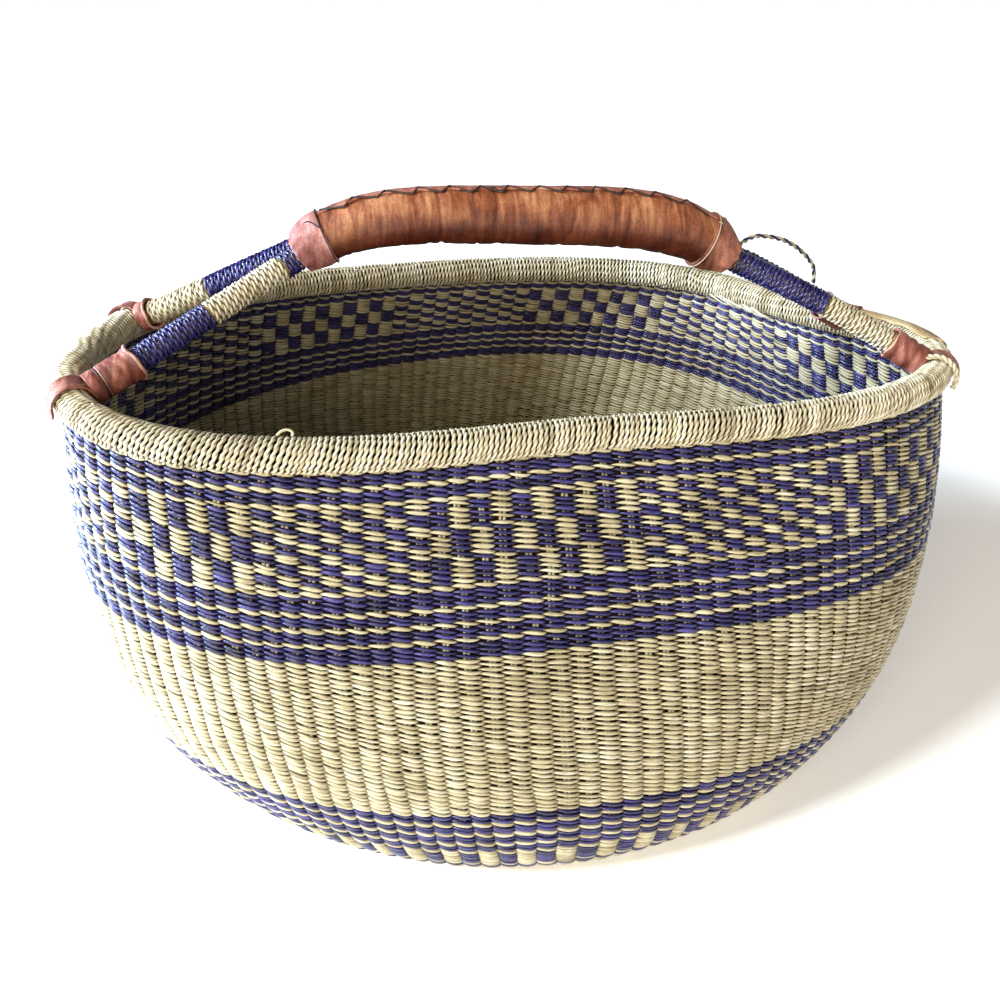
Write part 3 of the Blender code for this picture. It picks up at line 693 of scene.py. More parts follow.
# Sectors of the pattern: first stake, how many stakes, and 1 where the pattern is slanted
SECTORS = ((-14, 6, 0), (-8, 8, 1), (0, 10, 0), (10, 10, 1), (20, 10, 0), (30, 6, 1), (36, 10, 0),
           (46, 10, 1), (56, 10, 0), (66, 10, 1), (76, 10, 0), (86, 10, 1), (96, 8, 0), (104, 10, 1))
# Each grain, which is a strand's run over one stake: stations, swing in and out, lift, half height and depth
SEGMENTS = 8
SWING = 0.0017
LIFT = 0.00058
GRAIN_HALF = 0.00102
GRAIN_END = 0.00048
DEEP_HALF = 0.00082
DEEP_END = 0.00110
GRAIN_CORNERS = 6
# Rows in one piece on the side and on the base
SIDE_GROUP = 8
BASE_GROUP = 14
# On the base: down to this distance from the middle, so many stakes
BASE_STAKES = ((0.105, 128), (0.052, 64), (0.026, 32), (0.0, 16))
# Every eighth, fourth, second or single stake stops this far from the middle of the base
STAKE_STOPS = ((8, 0.006), (4, 0.028), (2, 0.054), (1, 0.107))
DRIFT_CELLS = 24
STAKE_DRIFT = RNG.normal(0, 0.07, (STAKES, DRIFT_CELLS))


def outer_navy(row, index):
    """Whether the grain on the outer face is navy, and whether the inner face shows the other colour."""
    if row in STRIPES:
        return True, False
    if row in PATTERN_ROWS:
        down = row - PATTERN_ROWS[0]
        first = SECTORS[0][0]
        index = (index - first) % STAKES + first
        start, _, slanted = next(sector for sector in SECTORS if index < sector[0] + sector[1])
        if slanted:
            return (index + down // SLANT_ROWS) % 2 == 0, True
        return (index - start + down // BLOCK_ROWS) % 2 == 0, True
    if row in CHECK_ROWS:
        return index % 2 == 0, True
    return False, False


def stake_shift(index, far):
    """A stake's small sideways drift, in stake widths."""
    low = np.floor(index).astype(int)
    part = index - low
    place = np.clip(far / (SIDE_LENGTH + BASE_RADIUS), 0, 1) * (DRIFT_CELLS - 1.01)
    cell = np.floor(place).astype(int)
    mix = place - cell

    def drift(stake):
        stake = stake % STAKES
        return STAKE_DRIFT[stake, cell] * (1 - mix) + STAKE_DRIFT[stake, cell + 1] * mix

    return drift(low) * (1 - part) + drift(low + 1) * part


def grain_colours(row, strand, stakes):
    """For each stake 1 where the strand is navy."""
    navy = np.empty(stakes, int)
    for k in range(stakes):
        shows, swaps = outer_navy(row, int(round(k * STAKES / stakes)))
        is_outside = (k + strand) % 2 == 0
        navy[k] = shows if is_outside or not swaps else not shows
    return navy


def weave_strand(row, fars, strand, stakes):
    """One of a row's two strands: rings, colours, tones and painted shade."""
    number = np.arange(stakes * SEGMENTS)
    cell = number // SEGMENTS
    local = number / SEGMENTS - 0.5 - cell
    outside = np.where((cell + strand) % 2 == 0, 1.0, -1.0)
    arc = np.clip(np.cos(np.pi * local), 0, 1)
    bow = arc ** 0.46
    size = RNG.normal(1, 0.12, stakes)[cell]
    high = RNG.normal(0, 0.00015, stakes)[cell] * bow
    stands_out = RNG.normal(0, 0.00012, stakes)[cell] * bow
    lift = -(LIFT + wander(len(number), 0.00014, SEGMENTS, True)) * np.sin(np.pi * local) * outside
    index = (number / SEGMENTS - 0.5) * (STAKES / stakes)
    point, _, down, out = bowl_frame(index + stake_shift(index, fars), fars)
    depth = (SWING * bow + stands_out) * outside - WALL / 2
    centre = point + out * depth[:, None] - down * (lift + high)[:, None]
    way = unit(np.roll(centre, -1, axis=0) - np.roll(centre, 1, axis=0))
    thick = square_to(out, way)
    half = (GRAIN_END + (GRAIN_HALF - GRAIN_END) * arc ** 0.8) * size
    deep = DEEP_END + (DEEP_HALF - DEEP_END) * bow
    turn = circle(GRAIN_CORNERS, 0.5)
    rings = centre[:, None] + around(turn, deep[:, None] * thick, half[:, None] * np.cross(way, thick))
    # Painted shade: darker at the grain's ends, where it dives between the stakes, and on its top, bottom and
    # the face towards the middle of the wall.
    ends = np.clip(1 - 1.6 * bow, 0, 1) * 0.12
    edges = np.clip(0.52 - 0.9 * outside[:, None] * np.cos(turn), 0, 1)
    tone = np.clip(RNG.normal(0.5, 0.2, stakes), 0, 1)[cell]
    return rings, grain_colours(row, strand, stakes)[cell], tone, np.maximum(ends[:, None], edges)


def weave_rows(name, rows, stakes):
    """Rows as (number, distance down). Each row has two strands, each outside every other stake."""
    count = stakes * SEGMENTS
    strands = []
    for row, far in rows:
        fars = far + wander(count, 0.00010, SEGMENTS * 6, True)
        for strand in range(2):
            strands.append(weave_strand(row, fars, strand, stakes))
    rings, slots, tones, shades = (np.stack(part) for part in zip(*strands))
    along = np.arange(count + 1) * (MOUTH_LENGTH / count)
    mesh = tube_mesh(name, rings, along, [NATURAL, NAVY], True, slots, tones, shades)
    link(name, mesh, "woven_straw", "woven_body")


def make_weave():
    """All the rows: down the side, then over the base with fewer and fewer stakes."""
    side_rows = int((SIDE_LENGTH - FIRST_ROW) / ROW_PITCH) + 1
    total = int((SIDE_LENGTH + BASE_RADIUS - BASE_MIDDLE - FIRST_ROW) / ROW_PITCH)
    rows = [(number, FIRST_ROW + number * ROW_PITCH) for number in range(total)]
    groups = [(rows[first:first + SIDE_GROUP], STAKES) for first in range(0, side_rows, SIDE_GROUP)]
    done = groups[-1][0][-1][0] + 1
    for limit, stakes in BASE_STAKES:
        batch = [row for row in rows[done:] if BASE_RADIUS - (row[1] - SIDE_LENGTH) >= limit]
        done += len(batch)
        for first in range(0, len(batch), BASE_GROUP):
            groups.append((batch[first:first + BASE_GROUP], stakes))
    for number, (batch, stakes) in enumerate(groups):
        weave_rows(f"weave_{number:02d}", batch, stakes)


def make_stakes():
    """The upright stakes inside the weave, two straws side by side."""
    stations = 40
    radius = 0.00074
    half_gap = 0.0008
    fars = np.linspace(0.004, SIDE_LENGTH + BASE_RADIUS - 0.006, stations)
    rings = []
    for k, aside in ((k, aside) for k in range(STAKES) for aside in (-half_gap, half_gap)):
        stop = next(stop for every, stop in STAKE_STOPS if k % every == 0)
        reach = SIDE_LENGTH + BASE_RADIUS - stop
        far = np.minimum(fars, reach)
        index = np.full(stations, float(k))
        point, along, _, out = bowl_frame(index + stake_shift(index, far), far)
        centre = point - out * (WALL / 2) + along * (aside + wander(stations, 0.0001, 2))[:, None]
        size = np.where(fars > reach, TINY, radius)[:, None, None]
        rings.append(centre[:, None] + size * around(circle(6), out, along))
    tone = np.broadcast_to(RNG.random((2 * STAKES, 1)), (2 * STAKES, stations))
    mesh = tube_mesh("stakes", np.stack(rings), one_more(fars), [NATURAL], tone=tone)
    link("stakes", mesh, "woven_straw", "woven_body")


def make_heart():
    """The heart of the weave as a near-black sheet, seen only down the gaps between the strands: painted
    shade for the gaps.
    """
    fars = np.linspace(0.0055, SIDE_LENGTH + BASE_RADIUS - 0.0005, 90)
    index = np.arange(2 * STAKES) / 2
    rows = []
    for far in fars:
        point, _, _, out = bowl_frame(index, far)
        rows.append(point - out * (WALL / 2))
    link("weave_heart", tube_mesh("weave_heart", np.stack(rows)[None], one_more(fars), [PAINTED_SHADE_CORE]),
         "woven_straw", "woven_body")


# Rim

def rim_frame(angle):
    """Rope centre, way along, way down the wall and way out at angles on the mouth."""
    angle = np.atleast_1d(angle)
    step = math.pi / 56
    top = wall_at(angle, RIM_HEIGHT)
    along = unit(wall_at(angle + step, RIM_HEIGHT) - wall_at(angle - step, RIM_HEIGHT))
    down = square_to(wall_at(angle, RIM_HEIGHT - ROPE_RADIUS) - top, along)
    out = np.cross(down, along)
    return top - out * (WALL / 2), along, down, out


def rim_spot(angle):
    """The same for one angle."""
    return [part[0] for part in rim_frame(angle)]


ROPE_ANGLES = np.linspace(0, 2 * np.pi, 2001)
ROPE_FRAMES = rim_frame(ROPE_ANGLES)
ROPE_FAR = far_along(ROPE_FRAMES[0])
ROPE_LENGTH = ROPE_FAR[-1]
# Angles where the strand parts a little, and how far and how wide
RIM_BREAKS = (225.6, 230.7, 249.6, 271.3)
BREAK_GAP = 0.00042
BREAK_WIDTH = 0.0012
BREAK_REACH = 0.012
RIM_PITCH = 0.0024
RIM_POINTS = 60
RIM_STRAND_RADIUS = 0.00690
RIM_PARTS = 6


def rope_at(far):
    """Rope centre, way along, down and out at distances along the rope."""
    far = np.mod(far, ROPE_LENGTH)
    centre, along, down, out = (np.stack([np.interp(far, ROPE_FAR, part[:, axis]) for axis in range(3)], -1)
                                for part in ROPE_FRAMES)
    return centre, unit(along), unit(down), unit(out)


def make_rim():
    """The twisted straw strand wound round the rope, in parts that follow on."""
    turns = int(round(ROPE_LENGTH / RIM_PITCH))
    total = turns * RIM_POINTS
    number = np.arange(total + 1)
    whole_turns = np.arange(turns + 1)
    spin = 2 * np.pi * number / RIM_POINTS
    slip = np.interp(number / RIM_POINTS, whole_turns, wander(turns + 1, 0.00026, 1.5))
    far = number / RIM_POINTS * (ROPE_LENGTH / turns) + slip
    for spot in RIM_BREAKS:
        off = far - np.interp(math.radians(spot), ROPE_ANGLES, ROPE_FAR)
        far = far + BREAK_GAP * np.tanh(off / BREAK_WIDTH) * np.exp(-(off / BREAK_REACH) ** 2)
    centre, along, down, out = rope_at(far)
    swell = np.interp(number / RIM_POINTS, whole_turns, 1 + wander(turns + 1, 0.012, 2.0))
    spoke = toward(spin, down, out)
    # The turns lean, most of all round the front left
    turn = np.degrees(np.interp(np.mod(far, ROPE_LENGTH), ROPE_FAR, ROPE_ANGLES))
    lean = -(0.0010 + 0.0014 * np.exp(-((turn - 226) / 22) ** 2)) * np.cos(spin) + 0.0004 * np.sin(spin)
    path = centre + (RIM_STRAND_RADIUS * swell)[:, None] * spoke + along * lean[:, None]
    way = unit(np.gradient(path, axis=0))
    across = square_to(spoke, way)
    size = 1 + np.interp(number, np.linspace(0, total, turns * 3), RNG.normal(0, 0.07, turns * 3))
    step = total // RIM_PARTS
    for part in range(RIM_PARTS):
        first = part * step
        last = total if part == RIM_PARTS - 1 else first + step
        cut = slice(first, last + 1)
        # The plies carry painted shade on their low sides.
        rings, dist, shade = plies(path[cut], way[cut], across[cut], 0.00064, 0.00049, 0.0080, 6, size[cut])
        tone = np.clip(0.5 + wander(last - first, 0.22, RIM_POINTS * 0.7), 0, 1)
        name = f"rim_wrap_{part}"
        mesh = tube_mesh(name, rings, dist, [RIM], tone=np.stack([tone, np.roll(tone, 17)]), shade=shade)
        link(name, mesh, "rim_straw", "rim_binding")


# Handle rods and their windings

WINDING_PITCH = 0.00215
WINDING_POINTS = 40
WINDING_RADIUS = 0.00507


def grip_point(x, aside=0.0):
    """A point of the grip's middle line, or beside it."""
    x = np.asarray(x, float)
    share = x / GRIP_HALF
    z = RIM_HEIGHT + GRIP_RISE - GRIP_DROP * np.abs(share) ** GRIP_ARCH_POWER - GRIP_TILT * share
    return np.stack([GRIP_X + x, np.broadcast_to(GRIP_Y + aside, x.shape), z], -1)


def grip_frame(x):
    """The ways to the back and up at places along the grip."""
    share = np.asarray(x, float) / GRIP_HALF
    bend = np.copysign(GRIP_ARCH_POWER * GRIP_DROP * np.abs(share) ** (GRIP_ARCH_POWER - 1), share)
    slope = (-bend - GRIP_TILT) / GRIP_HALF
    along = unit(np.stack([np.ones_like(slope), np.zeros_like(slope), slope], -1))
    back = np.broadcast_to(np.array([0.0, 1.0, 0.0]), along.shape)
    return back, np.cross(along, back)


def foot_line(foot):
    """A foot's centre on the rope, the rod's way and length, and the rope's way there."""
    centre, along, _, _ = rim_spot(math.radians(FEET[foot]["angle"]))
    way = grip_point(FEET[foot]["side"] * GRIP_HALF, ROD_SIDE[FEET[foot]["rod"]] * ROD_SPREAD) - centre
    length = np.linalg.norm(way)
    return centre, way / length, length, along


def rod_centre(foot, far):
    """The rod's centre at distances from the foot: the straight line plus its slight bow."""
    centre, way, length, _ = foot_line(foot)
    far = np.asarray(far)
    rise = FEET[foot]["bow"] * np.sin(np.pi * np.clip(far / length, 0, 1))
    return centre + far[..., None] * way + rise[..., None] * UP


def rod_run(foot):
    """Points and radii of the bare grass from a foot up to the grip, thinner under the windings."""
    length = foot_line(foot)[2]
    sleeve = FEET[foot]["sleeve"]
    run = ((0.0095, 0.0052), (sleeve - 0.001, 0.0055), (sleeve + 0.002, 0.0044), (length * 0.5, 0.0044),
           (length - 0.006, 0.0044), (length - 0.003, 0.0054), (length, 0.0056))
    return np.array([rod_centre(foot, far) for far, _ in run]), np.array([radius for _, radius in run])


def make_rods():
    """The two grass rods from foot to foot through the grip."""
    x = np.linspace(-GRIP_HALF + SETTLE, GRIP_HALF - SETTLE, 9)
    for rod, side in ROD_SIDE.items():
        left, left_radii = rod_run(rod + "_left")
        right, right_radii = rod_run(rod + "_right")
        points = np.concatenate([left, grip_point(x, side * GRIP_ROD_SPREAD), right[::-1]])
        radii = np.concatenate([left_radii, np.full(len(x), GRIP_ROD_RADIUS), right_radii[::-1]])
        tube("rod_" + rod, points, radii, STAKE, "grass_core", "handle_rod_" + rod, corners=16)


def make_winding(foot, place, colour, low, high):
    """One twisted strand wound round a rod between two distances from its foot."""
    turns = max(int(round((high - low) / WINDING_PITCH)), 1)
    number = np.arange(turns * WINDING_POINTS + 1)
    whole_turns = np.arange(turns + 1)
    spin = 2 * np.pi * number / WINDING_POINTS
    slip = np.interp(number / WINDING_POINTS, whole_turns, RNG.normal(0, 0.00010, turns + 1))
    far = low + (high - low) * number / number[-1] + slip
    swell = 1 + np.interp(number / WINDING_POINTS, whole_turns, RNG.normal(0, 0.015, turns + 1))
    spoke = toward(spin, *cross_axes(foot_line(foot)[1]))
    path = rod_centre(foot, far) + (WINDING_RADIUS * swell)[:, None] * spoke
    run = unit(np.gradient(path, axis=0))
    # The plies carry painted shade on their low sides.
    rings, dist, shade = plies(path, run, square_to(spoke, run), 0.00064, 0.00050, 0.0085, 6)
    tone = np.clip(0.5 + wander(len(number) - 1, 0.2, WINDING_POINTS * 0.6), 0, 1)
    name = f"{foot}_winding_{place}"
    material = WRAP_NAVY_WITH_PAINTED_LIGHT if colour == "navy" else RIM
    mesh = tube_mesh(name, rings, dist, [material], tone=np.stack([tone, np.roll(tone, 13)]), shade=shade)
    link(name, mesh, colour + "_straw", f"{foot}_wrap_{place}")


def make_windings():
    """The windings of each rod from its sleeve up. The last one goes on into the collar."""
    for foot, facts in FEET.items():
        length = foot_line(foot)[2]
        start = facts["sleeve"]
        free = length - WRAP_MARGIN - start
        for place, colour, share in facts["wraps"]:
            end = start + free * share
            high = length + 0.0010 if place == "upper" else end - 0.0006
            make_winding(foot, place, colour, start + 0.0004, high)
            start = end


# Grip

def grip_outer(x):
    """The grip's radius, smoothed."""
    places, sizes = zip(*GRIP_THICKNESS)
    near = [np.interp(np.asarray(x, float) + shift, places, sizes) for shift in (-0.004, 0.0, 0.004)]
    return sum(near) / 3


def grip_wrinkles(x, turn, end):
    """How far the leather stands off its plain radius."""
    wave = np.zeros(x.shape)
    for _ in range(90):
        spot = RNG.uniform(-end, end)
        angle = RNG.uniform(0, 2 * np.pi)
        width = RNG.uniform(0.0007, 0.0022)
        reach = RNG.uniform(0.5, 1.5)
        depth = RNG.uniform(0.00012, 0.00045)
        lean = RNG.normal(0, 0.0016)
        if spot < -0.03:
            depth *= 1.5
        off = apart_angle(turn, angle)
        wave -= depth * np.exp(-((x - spot - lean * off) / width) ** 2) * np.exp(-(off / reach) ** 2)
    # Three creases that go all round
    for spot, depth, width, lean in ((-0.039, 0.0009, 0.0012, 0.0008), (0.050, 0.0008, 0.0014, -0.001),
                                     (0.012, 0.0003, 0.002, 0.001)):
        wave -= depth * np.exp(-((x - spot - lean * (turn - 3.1)) / width) ** 2)
    wave += 0.00025 * np.sin(x * 190 + 2 * turn) * np.sin(turn * 2 + 1.0)
    # The dip along the seam
    wave -= 0.0005 * np.exp(-(apart_angle(turn, LACE_ANGLE) / 0.05) ** 2)
    return wave


def make_grip():
    """The leather sleeve of the grip, with painted shade underneath."""
    end = GRIP_HALF - COLLAR_LENGTH + COLLAR_COVER
    x = np.linspace(-end, end, 380)
    turn = circle(104, 0.5)
    back, up = grip_frame(x)
    grid_x, grid_turn = np.meshgrid(x, turn, indexing="ij")
    fade = np.clip((end - np.abs(grid_x)) / 0.012, 0, 1)
    radius = grip_outer(x)[:, None] + (grip_wrinkles(grid_x, grid_turn, end) - 0.0001) * fade
    padding = np.interp(np.abs(x), [0.0, 0.0696, 0.0876, 0.1], [0.0120, 0.0120, 0.0107, 0.0107])
    radius = np.maximum(radius, padding[:, None])
    side = around(turn, back, up)
    centre = grip_point(x)[:, None]
    outer = centre + radius[..., None] * side
    inner = centre + (grip_outer(x)[:, None, None] - LEATHER) * side
    # Painted shade: the leather's colour is darker towards its underside and plain on top.
    dark = np.interp(np.sin(turn), [-1.0, -0.3, 0.1, 0.5, 0.9], [1.0, 0.92, 0.60, 0.26, 0.0])
    closed_sleeve("grip_skin", outer, inner, GRIP_SKIN, "grip_leather", np.concatenate([x, x + 2 * end]),
                  "grip_leather", shade=dark)


def lace_points():
    """The lace's turning points: place along the grip, and distance across the seam."""
    reach = GRIP_HALF - COLLAR_LENGTH - 0.001
    stitches = 13
    points = []
    for k in range(stitches):
        for part, swing in ((0.0, -1.0), (0.76, 1.0)):
            x = -reach + (k + part + RNG.uniform(-0.05, 0.05)) * (2 * reach / stitches)
            points.append((x, swing * RNG.uniform(0.0016, 0.0026)))
    return np.array(points)


def make_flap(corners):
    """The edge of the back of the sleeve, which lies over its front along the top."""
    stations = 260
    width = 0.80
    reach = GRIP_HALF - COLLAR_LENGTH + 0.001
    x = np.linspace(-reach, reach, stations)
    back, up = grip_frame(x)
    centre = grip_point(x)
    radius = grip_outer(x)
    zigzag = np.interp(x, corners[:, 0], corners[:, 1]) * 0.30
    near = LACE_ANGLE + (zigzag + wander(stations, 0.00035, 5)) / radius
    far = LACE_ANGLE - width
    steps = np.linspace(0, 1, 12)
    ripple = wander(stations, 0.00012, 5)
    rings = []
    for lift, order in ((1, steps), (0, steps[::-1])):
        for t in order:
            high = radius + lift * (0.00085 + ripple) * (1 - t) ** 0.5 - 0.0004 * t - 0.0003 * (1 - lift)
            rings.append(centre + high[:, None] * toward(near + (far - near) * t, back, up))
    mesh = tube_mesh("grip_flap", np.stack(rings, 1)[None], one_more(x), [FLAP_SKIN])
    link("grip_flap", mesh, "grip_leather", "grip_leather")


def make_lace(corners):
    """The dark lace that zigzags across the seam."""
    path = []
    for place, swing in corners:
        size = grip_outer(place) + (0.0004 if swing > 0 else 0.0011)
        path.append(grip_point(place) + size * toward(LACE_ANGLE + swing / size, *grip_frame(place)))
    fine = []
    for a, b in zip(path[:-1], path[1:]):
        fine += [a * (1 - t) + b * t for t in (0.0, 0.06, 0.3, 0.6, 0.94)]
    tube("lace", fine + path[-1:], 0.00052, LACE, "dark_lace", "grip_lacing", corners=8)


# Collars

COLLAR_MOUTH = ROD_RADIUS + COLLAR_MOUTH_GAP + COLLAR_LEATHER
COLLAR_BLEND = COLLAR_LENGTH - COLLAR_COVER
COLLAR_CORNERS = 72


def collar_top(side):
    """The collar's radius where it lies on the grip."""
    return float(grip_outer(side * (GRIP_HALF - COLLAR_LENGTH))) + 0.0004 + 0.7 * COLLAR_LEATHER


def grip_rings(x, radius, apart, corners):
    """Rings across the grip: a circle, or two half circles set apart."""
    turn = circle(corners, 0.5)
    back, up = grip_frame(x)
    aside = np.copysign(apart[:, None], np.cos(turn)) * (apart[:, None] > 0) + radius * np.cos(turn)
    rise = radius * np.sin(turn)
    return grip_point(x)[:, None] + aside[..., None] * back[:, None] + rise[..., None] * up[:, None]


def make_collar(name, side, material):
    """A collar that changes from the grip's round to two half circles round the rods."""
    share = np.concatenate([np.linspace(0, 1, 22), np.linspace(1, COLLAR_LENGTH / COLLAR_BLEND, 18)[1:]])
    eased = np.clip(share, 0, 1)
    eased = eased * eased * (3 - 2 * eased) * 0.35 + (1 - (1 - eased) ** 2) * 0.65
    turn = circle(COLLAR_CORNERS, 0.5)
    x = side * (GRIP_HALF - COLLAR_BLEND * share)
    base = (COLLAR_MOUTH + (collar_top(side) - COLLAR_MOUTH) * eased)[:, None]
    pucker = 0.00040 * np.sin(9 * turn + 1.0)[None] * (1 - eased)[:, None]
    for _ in range(9):
        spot = RNG.uniform(0, COLLAR_LENGTH)
        off = apart_angle(turn[None], RNG.uniform(0, 2 * np.pi))
        near = ((share[:, None] * COLLAR_BLEND - spot) / 0.0016) ** 2
        pucker = pucker - RNG.uniform(0.0001, 0.0003) * np.exp(-near - off**2)
    apart = ROD_SPREAD * (1 - eased)
    outer = grip_rings(x, base + pucker, apart, COLLAR_CORNERS)
    inner = grip_rings(x, base - COLLAR_LEATHER, apart, COLLAR_CORNERS)
    along = np.concatenate([np.abs(x), np.abs(x) + 0.1])
    closed_sleeve(name + "_collar_skin", outer, inner, material, "cuff_leather", along, name + "_collar")


def make_tie(name, side, inset, material):
    """The thin tie round a collar, a little more than one turn."""
    stations = 120
    start = -0.4
    spin = np.linspace(start, 2 * np.pi * 1.06 + start, stations)
    place = np.full(stations, side * (GRIP_HALF - COLLAR_LENGTH + inset))
    slide = side * np.linspace(-0.0006, 0.0006, stations)
    path = grip_point(place + slide) + (collar_top(side) + 0.0001) * toward(spin, *grip_frame(place))
    tube(name + "_tie", path, 0.00028, material, "pale_thread", name + "_collar_thread", corners=7)


def make_left_stitch():
    """The dark stitch over the left collar."""
    spots = []
    for inset, angle, rise in ((0.004, 2.20, 0.0112), (0.0085, 2.05, 0.0130), (0.0125, 2.50, 0.0131)):
        spots.append(grip_point(inset - GRIP_HALF) + rise * toward(angle, *grip_frame(0.012 - GRIP_HALF)))
    tube("left_stitch", smooth_path(spots, 14), 0.0004, LACE, "dark_lace", corners=6)


def make_right_stitches():
    """Four pale stitches on the right collar: share of its length, and angle."""
    for share, angle in ((0.45, 2.5), (0.9, 1.2), (1.2, 2.2), (1.0, 1.75)):
        x = GRIP_HALF - COLLAR_BLEND * np.array([share - 0.12, share, share + 0.12])
        base = COLLAR_MOUTH + (collar_top(1) - COLLAR_MOUTH) * min(share * 1.2, 1.0)
        lift = base + np.array([0.0001, 0.0005, 0.0001])
        marks = grip_point(x) + lift[:, None] * toward(angle, *grip_frame(GRIP_HALF - COLLAR_BLEND * share))
        tube(f"right_stitch_{angle:.1f}", marks, 0.00026, THREAD, "pale_thread", corners=6)


# Cuffs

SLEEVE_START = 0.0092
SLEEVE_BORE = ROD_RADIUS + 0.0003
SLEEVE_LEATHER = LEATHER * 0.9
STRAP_START = -30


def cuff_axes(foot):
    """Inward and up, both square to the rope, and across, which runs along it."""
    _, way, _, along = foot_line(foot)
    inward = square_to(way, along)
    up = np.cross(inward, along)
    if up[2] < 0:
        up = -up
    return inward, up, np.cross(inward, up)


def make_sleeve(foot):
    """The leather sleeve on a rod's end, wrinkled, with a cut end and its raw edge."""
    first, second = cross_axes(foot_line(foot)[1])
    corners = 64
    turn = circle(corners)
    share = np.linspace(0, 1, 56)
    d = SLEEVE_START + (FEET[foot]["sleeve"] - SLEEVE_START) * share
    ripple = np.zeros((len(share), corners))
    for _ in range(16):
        spot = RNG.uniform(d[0], d[-1])
        off = apart_angle(turn[None], RNG.uniform(0, 2 * np.pi))
        lean = RNG.normal(0, 0.002)
        near = ((d[:, None] - spot - lean * off) / 0.0014) ** 2
        ripple -= RNG.uniform(0.0002, 0.00055) * np.exp(-near - (off / 1.1) ** 2)
    flare = FEET[foot]["flare"] * np.clip((share - 0.80) / 0.20, 0, 1) ** 2
    neck = -0.0006 * np.exp(-((d - 0.0150) / 0.0014) ** 2)
    end_cut = 0.0007 * np.sin(turn * 2 + RNG.uniform(0, 6)) + 0.0003 * np.sin(turn * 5 + RNG.uniform(0, 6))
    far = d[:, None] + (end_cut[None] - 0.0010) * share[:, None] ** 3
    side = toward(turn, first, second)
    outer_radius = SLEEVE_BORE + SLEEVE_LEATHER + ripple + (flare + neck)[:, None]
    outer = rod_centre(foot, far) + outer_radius[..., None] * side
    inner = rod_centre(foot, far) + (SLEEVE_BORE + flare)[:, None, None] * side
    closed_sleeve(foot + "_sleeve", outer, inner, CUFF_SKIN, "cuff_leather", np.concatenate([d, d + 0.1]),
                  foot + "_cuff")
    edge = rod_centre(foot, far[-1]) + (SLEEVE_BORE + SLEEVE_LEATHER / 2 + flare[-1]) * side
    tube(foot + "_raw_edge", np.concatenate([edge, edge[:2]]), FEET[foot]["edge"], RAW_SKIN, "cuff_leather",
         corners=8)


def make_neck_ties(foot):
    """Two thin ties round a sleeve's neck."""
    spin = np.linspace(0, 2 * np.pi, 60)
    side = toward(spin, *cross_axes(foot_line(foot)[1]))
    for number, (place, material) in enumerate(((0.0146, LACE), (0.0158, RAW_SKIN))):
        ring = rod_centre(foot, place + 0.0004 * np.sin(spin + number))
        ring = ring + (SLEEVE_BORE + SLEEVE_LEATHER - 0.0004) * side
        tube(f"{foot}_neck_tie_{number}", ring, 0.00030, material, "cuff_leather", corners=6)


def ribbon_mesh(name, path, normal, side, half):
    """A leather strip along a path: half is its half width, its edges lift and waver."""
    steps = np.linspace(-1, 1, 17)
    edges = [1 + wander(len(path), 0.07, 4), 1 + wander(len(path), 0.07, 4)]
    rings = []
    for face, order in ((1, steps), (-1, steps[::-1])):
        for s in order:
            rounding = math.sqrt(max(1 - abs(s) ** 8, 0.0))
            reach = half * (edges[0] if s > 0 else edges[1])
            out = face * SLEEVE_LEATHER / 2 * rounding + 0.0022 * max(abs(s) - 0.45, 0.0) ** 2
            rings.append(path + out * normal + (s * reach)[:, None] * side)
    rings = pinch_ends(np.stack(rings, 1))
    return tube_mesh(name, rings[None], one_more(far_along(rings[:, 4])), [CUFF_SKIN])


def make_strap(foot):
    """The strap from the sleeve over the rope and round it, with its loose tail."""
    centre = foot_line(foot)[0]
    inward, up, across = cuff_axes(foot)
    wide, narrow, stand, last, loose = FEET[foot]["strap"]
    spin = np.radians(np.linspace(STRAP_START, last, 48))
    path = (ROPE_RADIUS + 0.0005 + LEATHER / 2) * np.stack([np.cos(spin), np.sin(spin)], -1)
    onward = np.array([-math.sin(spin[-1]), math.cos(spin[-1])])
    outward = np.array([math.cos(spin[-1]), math.sin(spin[-1])])
    step = np.linspace(0.0008, loose, 8)[:, None]
    path = np.concatenate([path, path[-1] + step * onward + stand * (step / loose) ** 2 * outward])
    way = unit(np.gradient(path, axis=0))
    share = np.linspace(0, 1, len(path))
    route = centre + path[:, :1] * inward + path[:, 1:] * up + across * (0.0014 * share ** 2)[:, None]
    normal = way[:, 1:] * inward - way[:, :1] * up
    half = np.interp(share, [0, 0.35, 0.7, 1], [wide, wide * 0.96, narrow, narrow * 0.9])
    name = foot + "_strap_0"
    link(name, ribbon_mesh(name, route, normal, across, half), "cuff_leather", foot + "_cuff")


def make_tan_strip():
    """The strip of pale hide laid over the rim between the two right feet."""
    stations = 60
    corners = 11
    places = np.radians(np.linspace(353.0, 330.0, stations))
    centre, _, down, out = (part[:, None] for part in rim_frame(places))
    spin = np.radians(np.linspace(-5, 112, corners)) + wander(stations, 0.06, 5)[:, None]
    number = np.arange(stations)
    taper = np.clip(np.minimum(number, number[::-1]) / 5, 0.2, 1)[:, None]
    middle = spin.mean(1, keepdims=True)
    spin = middle + (spin - middle) * taper
    outer = centre + 0.0091 * toward(spin, out, -down)
    inner = centre + 0.0083 * toward(spin[:, ::-1], out, -down)
    rings = pinch_ends(np.concatenate([outer, inner], 1))
    mesh = tube_mesh("tan_strip", rings[None], one_more(far_along(rings[:, 4])), [TAN_SKIN])
    link("tan_strip", mesh, "cuff_leather", "back_right_cuff")


# Cords and loose straw

# Places on the rim, in degrees, of the little loop and of the back right's loose straw
LITTLE_LOOP = 232.0
TUFT_START = 22.0
TUFT_END = 38.0
QUARTER_TURN = 1.57


